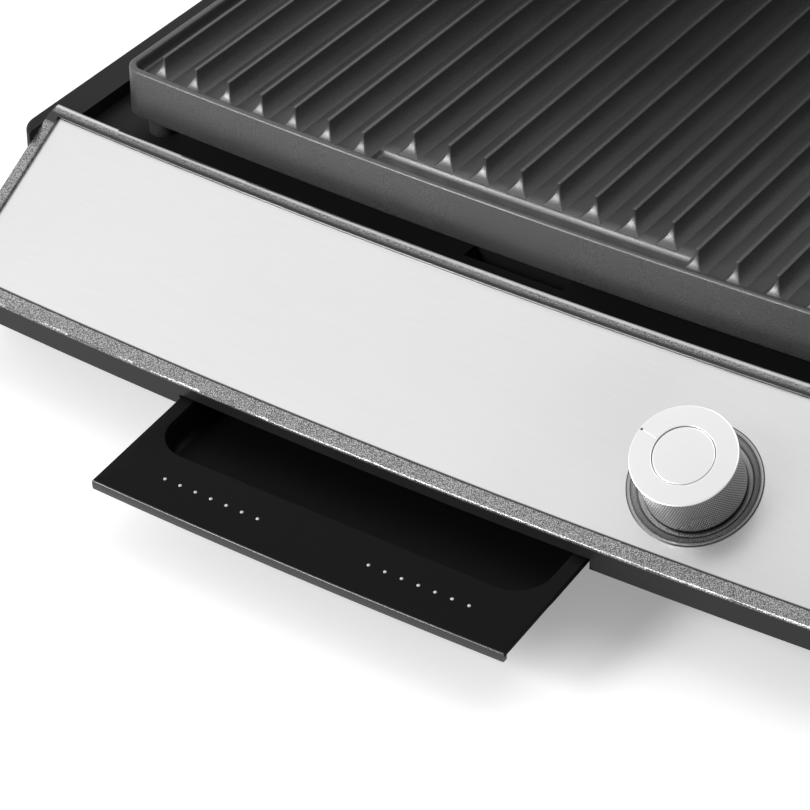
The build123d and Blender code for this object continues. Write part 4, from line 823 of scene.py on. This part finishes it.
@dataclass
class Knob:
    """Control knob, its dish and its pointer.

    Attributes:
        x: Distance along the bow from the middle.
        along: Distance up the slope.
        slope_deg: Slope of the console.
        panel_front: (y, z) of the slope's start.
        height: Height of the cap above the slope.
        radius: Radius of the cap.
        foot_radius: Radius at the skirt's foot.
        wall: Wall of the skirt.
        cap: Thickness of the cap.
        bore: Radius of the spindle.
        inset_radius: Radius of the recess in the cap.
        inset_depth: Depth of the disc in it.
        dish_radius: Outer radius of the dish.
        dish_floor: Radius of its floor.
        dish_depth: Its depth.
        lift: Gap under the skirt.
        recess: Depth of the panel below the frame.
        knurl_margin: Plain rims below and above the knurl.
        pointer_deg: Direction of the pointer in the knob's plane.
        steps: Points round each turned piece.
    """

    x: float = 102.4
    along: float = 28.1
    slope_deg: float = 29.5
    panel_front: Pair = (-165.4742, 35.8606)
    height: float = 19.2
    radius: float = 17.9
    foot_radius: float = 17.0
    wall: float = 1.6
    cap: float = 0.6
    bore: float = 3.0
    inset_radius: float = 10.4
    inset_depth: float = 0.5
    dish_radius: float = 22.6
    dish_floor: float = 18.6
    dish_depth: float = 2.6
    lift: float = 1.0
    recess: float = 1.2
    knurl_margin: Pair = (0.7, 0.35)
    pointer_deg: float = 167.5
    steps: int = 144

    def plane(self) -> Matrix:
        """Return the matrix from the knob's own frame to the row frame, in millimetres."""
        slope = radians(self.slope_deg)
        y = self.panel_front[0] + self.along * cos(slope)
        z = self.panel_front[1] + self.along * sin(slope)
        centre = CONSOLE_FRONT_Y + BOW_RADIUS
        reach = centre - y
        turn = self.x / reach
        origin = Vector((reach * sin(turn), centre - reach * cos(turn), z))
        normal = Vector((sin(slope) * sin(turn), -sin(slope) * cos(turn), cos(slope)))
        across = Vector((cos(turn), sin(turn), 0))
        basis = Matrix((across, normal.cross(across), normal)).transposed().to_4x4()
        return AT_REST @ Matrix.Translation(origin) @ basis

    def build(self) -> None:
        """Build the skirt, the cap, the inset disc, the dish and the pointer."""
        place = self.plane()
        foot, rim, h = self.foot_radius, self.radius, self.height
        low = -self.dish_depth + self.lift
        top = h - self.cap
        start, end = low + self.knurl_margin[0], top - self.knurl_margin[1]
        inside = foot - self.wall
        skirt = Skin(knurl=(foot + 0.01, start + 0.02, end - 0.02))
        skirt.add_lathe([(self.bore, low + 5), (inside, low + 5), (inside, low), (foot - 0.2, low),
                         (foot, low + 0.15), (foot, start), (foot + 0.02, start + 0.03),
                         (rim - 0.52, end - 0.03), (rim - 0.5, end), (rim - 0.5, top), (self.bore, top)],
                        self.steps)
        skirt.piece("knob_skirt_knurled", "knob", KNURLED_ALUMINIUM, place, "knob_skirt", 50)

        inset = self.inset_radius
        recess = h - 2 * self.inset_depth
        cap = Skin()
        cap.add_lathe([(0, top), (rim - 0.35, top), (rim - 0.1, top + 0.1), (rim, top + 0.35),
                       (rim, h - 0.35), (rim - 0.1, h - 0.1), (rim - 0.35, h), (rim - 0.55, h),
                       (inset + 0.45, h), (inset + 0.25, h), (inset + 0.07, h - 0.07), (inset, h - 0.25),
                       (inset, recess), (0, recess)], self.steps)
        cap.piece("knob_cap_satin", "knob", CAP_ALUMINIUM, place, "knob_cap")

        edge = inset - 0.2
        face = h - self.inset_depth + 0.25
        disc = Skin()
        disc.add_lathe([(0, recess), (edge, recess), (edge, face - 0.3), (edge - 0.09, face - 0.09),
                        (edge - 0.3, face), (edge - 0.5, face), (0, face)], self.steps)
        disc.piece("knob_inset_disc", "knob", CAP_ALUMINIUM, place, "knob_inset")
        self.build_pointer(place)
        self.build_dish(place)

    def build_pointer(self, place: Matrix) -> None:
        """Build the raised pointer line and the small dimple at the cap's rim."""
        h = self.height
        start, end = self.inset_radius + 0.5, self.radius - 1.5
        half = 0.22
        line = Skin()
        line.add_rings([np.array([(radius, -width, h - 0.05), (radius, width, h - 0.05),
                                  (radius, width * 0.5, h + 0.05), (radius, -width * 0.5, h + 0.05)])
                        for radius, width in ((start, half * 0.3), (start + 0.3, half),
                                              (end - 0.6, half), (end, half * 0.3))])
        turn = place @ Matrix.Rotation(radians(self.pointer_deg), 4, "Z")
        line.piece("knob_pointer_line", "knob", POINTER_LINE, turn)
        dot = Skin()
        dot.add_lathe([(0, h - 0.05), (0.46, h - 0.05), (0.46, h + 0.01), (0.3, h + 0.03), (0, h + 0.03)], 20,
                      (self.radius - 0.86, 0, 0))
        dot.piece("knob_pointer_dot", "knob", POINTER_SHADE, turn)

    def build_dish(self, place: Matrix) -> None:
        """Build the stepped dish round the knob."""
        seat = -self.recess
        top = 0.4 - self.recess
        floor = -self.dish_depth
        step, outer = self.dish_floor, self.dish_radius
        inner = self.bore + 3.2
        lip = self.foot_radius - 2
        dish = Skin()
        dish.add_lathe([(inner, floor - 0.8), (inner, floor), (lip - 0.3, floor), (lip, floor + 0.08),
                        (lip + 0.4, floor + 0.42), (lip + 0.7, floor + 0.5), (step, floor + 0.5),
                        (step + 0.25, floor + 0.56), (step + 0.6, floor + 0.86), (step + 0.8, floor + 0.98),
                        (step + 1.6, floor + 1.1), (outer - 1.7, top - 0.38), (outer - 1.4, top - 0.25),
                        (outer - 1.25, top - 0.06), (outer - 1.05, top), (outer - 0.3, top),
                        (outer - 0.08, top - 0.08), (outer, top - 0.3), (outer, seat), (outer - 1.1, seat),
                        (outer - 1.1, seat - 0.8), (step + 0.8, floor - 0.3), (step + 0.8, floor - 0.8)],
                       self.steps)
        dish.piece("knob_dish_stepped", "base", DARK_DISH, place, "knob_dish")
        # A thin ring of painted dark reflection round the dish's outer edge.
        edge = Skin()
        edge.add_lathe([(outer - 0.34, top + 0.04), (outer - 0.06, top - 0.02), (outer + 0.06, top - 0.14),
                        (outer + 0.06, seat), (outer - 0.1, seat), (outer - 0.1, top - 0.2),
                        (outer - 0.34, top - 0.06)], self.steps)
        edge.piece("knob_dish_edge", "base", DISH_EDGE_PAINTED_REFLECTION, place)


@dataclass
class DripTray:
    """Pull-out drip tray with its lip, well and two rows of raised dots.

    Attributes:
        half_width: Half width of the flange.
        length: Length of the flange.
        flange: Thickness of the flange.
        lip_height: Height of the lip.
        lip_thickness: Its thickness.
        lip_skin: Its thickness in front of the flange.
        reach: How far it stands out of the fascia.
        tilt: Its rise from front to back, per length.
        fascia_y: Y of the fascia.
        top_z: Height of the flange at the fascia.
        well_half: Half width of the well.
        well_front: Start of the well.
        well_rear: Its end.
        well_depth: Its depth.
        well_wall: Its wall.
        well_corner: Radius of its corners.
        draft_deg: Draft of its walls.
        dot_first: Distance of the innermost dot from the middle.
        dot_pitch: Distance between dots.
        dots_per_side: Dots on each side.
        dot_line: Distance of the dots behind the lip.
        dot_radius: Radius of a dot.
    """

    half_width: float = 80.8
    length: float = 150.0
    flange: float = 2.0
    lip_height: float = 3.8
    lip_thickness: float = 2.2
    lip_skin: float = 0.5
    reach: float = 50.7
    tilt: float = 0.075
    fascia_y: float = CONSOLE_FRONT_Y
    top_z: float = 28.1
    well_half: float = 75.3
    well_front: float = 26.5
    well_rear: float = 142.0
    well_depth: float = 10.0
    well_wall: float = 2.0
    well_corner: float = 13.0
    draft_deg: float = 6.0
    dot_first: float = 21.9
    dot_pitch: float = 6.35
    dots_per_side: int = 7
    dot_line: float = 13.6
    dot_radius: float = 0.62

    def bow(self) -> float:
        """Return the radius of the bow of the tray's front."""
        return BOW_RADIUS + self.reach

    def plane(self) -> Matrix:
        """Return the matrix from the tray's own frame to the row frame, in millimetres."""
        z = self.top_z - self.tilt * self.reach
        lean = Matrix.Rotation(atan(self.tilt), 4, "X")
        return AT_REST @ Matrix.Translation((0, self.fascia_y - self.reach, z)) @ lean

    def well_ring(self, grow: float, z: float) -> Ring:
        """Return the well's outline, grown sideways, at a height."""
        return rounded_ring(self.well_half + grow, self.well_front - grow, self.well_rear + grow,
                            self.well_corner + grow, z, bow=0, steps=12)

    def flange_ring(self, inset: float, z: float) -> Ring:
        """Return the flange's outline behind the lip, drawn in, at a height."""
        return rounded_ring(self.half_width - inset, self.lip_skin, self.length - inset, 0.3, z,
                            bow=self.bow(), steps=12)

    def build(self) -> None:
        """Build the tray and its dots."""
        draft = tan(radians(self.draft_deg))
        depth, wall = self.well_depth, self.well_wall
        low = -depth - wall
        tray = Skin()
        outside = wall + low * draft
        rings = [self.well_ring(grow, z) for grow, z in (
            (outside - 2.0, low), (outside - 0.5, low + 0.4), (outside, low + 1.6),
            (wall - self.flange * draft, -self.flange))]
        rings += [self.flange_ring(inset, z) for inset, z in (
            (0.0, -self.flange), (0.0, -0.4), (0.1, -0.1), (0.4, -0.01))]
        rings += [self.well_ring(grow, z) for grow, z in (
            (0.9, -0.01), (0.35, -0.12), (0.06, -0.5), (-0.1, -1.0))]
        bottom = -depth
        for share, drop in ((0.0, 3.0), (0.12, 1.7), (0.6, 0.7), (1.5, 0.12), (3.0, 0.0)):
            rings.append(self.well_ring((bottom + drop) * draft - share, bottom + drop))
        tray.add_rings(rings)
        tray.piece("drip_tray_moulding", "tray", BLACK_TRAY, self.plane(), "drip_tray")
        lip = Skin()
        self.add_lip(lip)
        lip.piece("drip_tray_lip", "tray", TRAY_EDGE, self.plane())

        dots = Skin()
        for side in (-1, 1):
            for i in range(self.dots_per_side):
                x = side * (self.dot_first + i * self.dot_pitch)
                y = self.dot_line + x * x / (2 * self.bow())
                r = self.dot_radius
                dots.add_lathe([(0, -0.1), (r, -0.1), (r, 0.06), (r * 0.85, 0.2), (r * 0.5, 0.3), (0, 0.32)],
                               16, (x, y, 0))
        dots.piece("drip_tray_dots", "tray", DOT_PAINT, self.plane())

    def add_lip(self, skin: Skin) -> None:
        """Add the lip as a bowed bar with softened edges."""
        low, thick, soft = -self.lip_height, self.lip_thickness, 0.35
        skin_y, under = self.lip_skin, -self.flange
        section = [(soft, low), (thick, low), (thick, under), (skin_y, under), (skin_y, 0.0), (soft, 0.0),
                   (soft * 0.65, -soft * 0.06), (soft * 0.3, -soft * 0.3), (soft * 0.06, -soft * 0.65),
                   (0.0, -soft), (0.0, low + soft), (soft * 0.3, low + soft * 0.3)]
        skin.add_rings([np.array([(x, y + x * x / (2 * self.bow()), z) for y, z in section])
                        for x in np.linspace(-self.half_width, self.half_width, 33)])


@dataclass
class CadDressing:
    """Finishes for the CAD nodes that are shown as they are.

    Attributes:
        finishes: Nodes that have each finish.
    """

    finishes: dict[Finish, tuple[str, ...]] = field(default_factory=lambda: NODE_FINISHES)

    def build(self) -> None:
        """Give each shown node its finish."""
        for dress, names in self.finishes.items():
            for name in names:
                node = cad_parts[name]
                if not node.material_slots:
                    node.data.materials.append(dress.material())
                for place in node.material_slots:
                    place.material = dress.material()
                LOG.info("%s: %s", name, dress.name)


@dataclass(frozen=True)
class Softbox:
    """Square soft light aimed at the grill.

    Attributes:
        name: Name of the lamp.
        place: Its place, in metres.
        side: Its side, in metres.
        power: Its power, in watts.
    """

    name: str
    place: Point
    side: float
    power: float

    def build(self, target: Vector) -> None:
        """Add the lamp, turned to a target."""
        data = bpy.data.lights.new(self.name, "AREA")
        data.size = self.side
        data.energy = self.power
        lamp = placed(self.name, data)
        lamp.location = self.place
        lamp.rotation_mode = "QUATERNION"
        lamp.rotation_quaternion = (target - Vector(self.place)).to_track_quat("-Z", "Y")


@dataclass
class Studio:
    """Floor, world, lamps and camera.

    Attributes:
        camera_mm: The camera's place in the row frame.
        azimuth_deg: Direction that the camera looks in, from +Y towards +X.
        elevation_deg: Its height above the horizon.
        lens_mm: Focal length on a sensor of the width below.
        sensor_mm: Width of the sensor.
        clip: Nearest and farthest distance that the camera sees, in metres.
        floor_size: Size of the floor, in metres.
        floor_grey: Its colour.
        floor_glow: What it adds to its own light before the camera, so that the background is white.
        ambient: Strength of the world's light on matt surfaces.
        lamp_aim: Point that the lamps are aimed at, in metres.
        lamps: The lamps.
    """

    camera_mm: Point = (490.46, -914.31, 701.74)
    azimuth_deg: float = -33.344
    elevation_deg: float = 36.273
    lens_mm: float = 148.11
    sensor_mm: float = 36.0
    clip: Pair = (0.05, 60.0)
    floor_size: float = 14.0
    floor_grey: float = 0.86
    floor_glow: float = 0.3
    ambient: float = 0.42
    lamp_aim: Point = (0.0, 0.0, 0.08)
    lamps: tuple[Softbox, ...] = (
        Softbox("softbox_left", (-1.5, -0.2, 1.4), 2.0, 6.0),
        Softbox("softbox_top", (0.1, 0.4, 2.0), 1.6, 9.0),
        Softbox("key_front_left", (-1.06, -1.82, 1.15), 0.8, 46.0),
    )

    def build(self) -> None:
        """Build everything that isn't part of the grill."""
        self.build_camera()
        self.build_world()
        self.build_floor()
        for lamp in self.lamps:
            lamp.build(Vector(self.lamp_aim))
        bpy.context.scene.view_settings.view_transform = "Standard"

    def build_camera(self) -> None:
        """Set the camera to the photograph's view."""
        data = bpy.data.cameras.new("camera")
        data.sensor_width = self.sensor_mm
        data.lens = self.lens_mm
        data.clip_start, data.clip_end = self.clip
        camera = placed("camera", data)
        a, e = radians(self.azimuth_deg), radians(self.elevation_deg)
        sight = Vector((sin(a) * cos(e), cos(a) * cos(e), -sin(e)))
        right = Vector((cos(a), -sin(a), 0))
        turn = Matrix((right, right.cross(sight), -sight)).transposed()
        camera.matrix_world = Matrix.Translation(Vector(self.camera_mm) * MM) @ turn.to_4x4()
        bpy.context.scene.camera = camera

    def build_world(self) -> None:
        """Light matt surfaces at a plain level and show white to the camera and to gloss."""
        world = bpy.data.worlds.new("studio")
        nodes = NodeTree(world)
        light = nodes.node("Background", Strength=self.ambient)
        white = nodes.node("Background")
        rays = nodes.node("LightPath")
        seen = rays.outputs["Is Camera Ray"]
        for name in ("Is Glossy Ray", "Is Transmission Ray"):
            seen = nodes.maths("MAXIMUM", seen, rays.outputs[name])
        mix = nodes.node("MixShader")
        nodes.link(seen, mix.inputs["Fac"])
        nodes.link(light.outputs[0], mix.inputs[1])
        nodes.link(white.outputs[0], mix.inputs[2])
        nodes.link(mix.outputs[0], nodes.node("OutputWorld").inputs["Surface"])
        bpy.context.scene.world = world

    def build_floor(self) -> None:
        """Lay a pale floor that keeps the shadow."""
        half = self.floor_size / 2
        corners = [(-half, -half, 0), (half, -half, 0), (half, half, 0), (-half, half, 0)]
        mesh = bpy.data.meshes.new("floor")
        mesh.from_pydata(corners, [], [(0, 1, 2, 3)])
        material = bpy.data.materials.new("pale_floor")
        nodes = NodeTree(material)
        matt = nodes.node("BsdfDiffuse", Color=(*(self.floor_grey,) * 3, 1.0))
        glow = nodes.node("Emission")
        rays = nodes.node("LightPath")
        level = nodes.maths("MULTIPLY", rays.outputs["Is Camera Ray"], self.floor_glow)
        nodes.link(level, glow.inputs["Strength"])
        both = nodes.node("AddShader")
        nodes.link(matt.outputs[0], both.inputs[0])
        nodes.link(glow.outputs[0], both.inputs[1])
        nodes.link(both.outputs[0], nodes.node("OutputMaterial").inputs["Surface"])
        mesh.materials.append(material)
        placed("floor", mesh)


def main() -> None:
    """Build the looks in order."""
    logging.basicConfig(level=logging.INFO, format="%(name)s %(message)s")
    Studio().build()
    CadDressing().build()
    plate = CookingPlate()
    plate.build("lower_plate_casting", "base", "lower_plate", AT_REST)
    plate.build("upper_plate_casting", "lid", "upper_plate", LID_OPEN @ TURNED_OVER)
    Knob().build()
    DripTray().build()


if __name__ == "__main__":
    main()
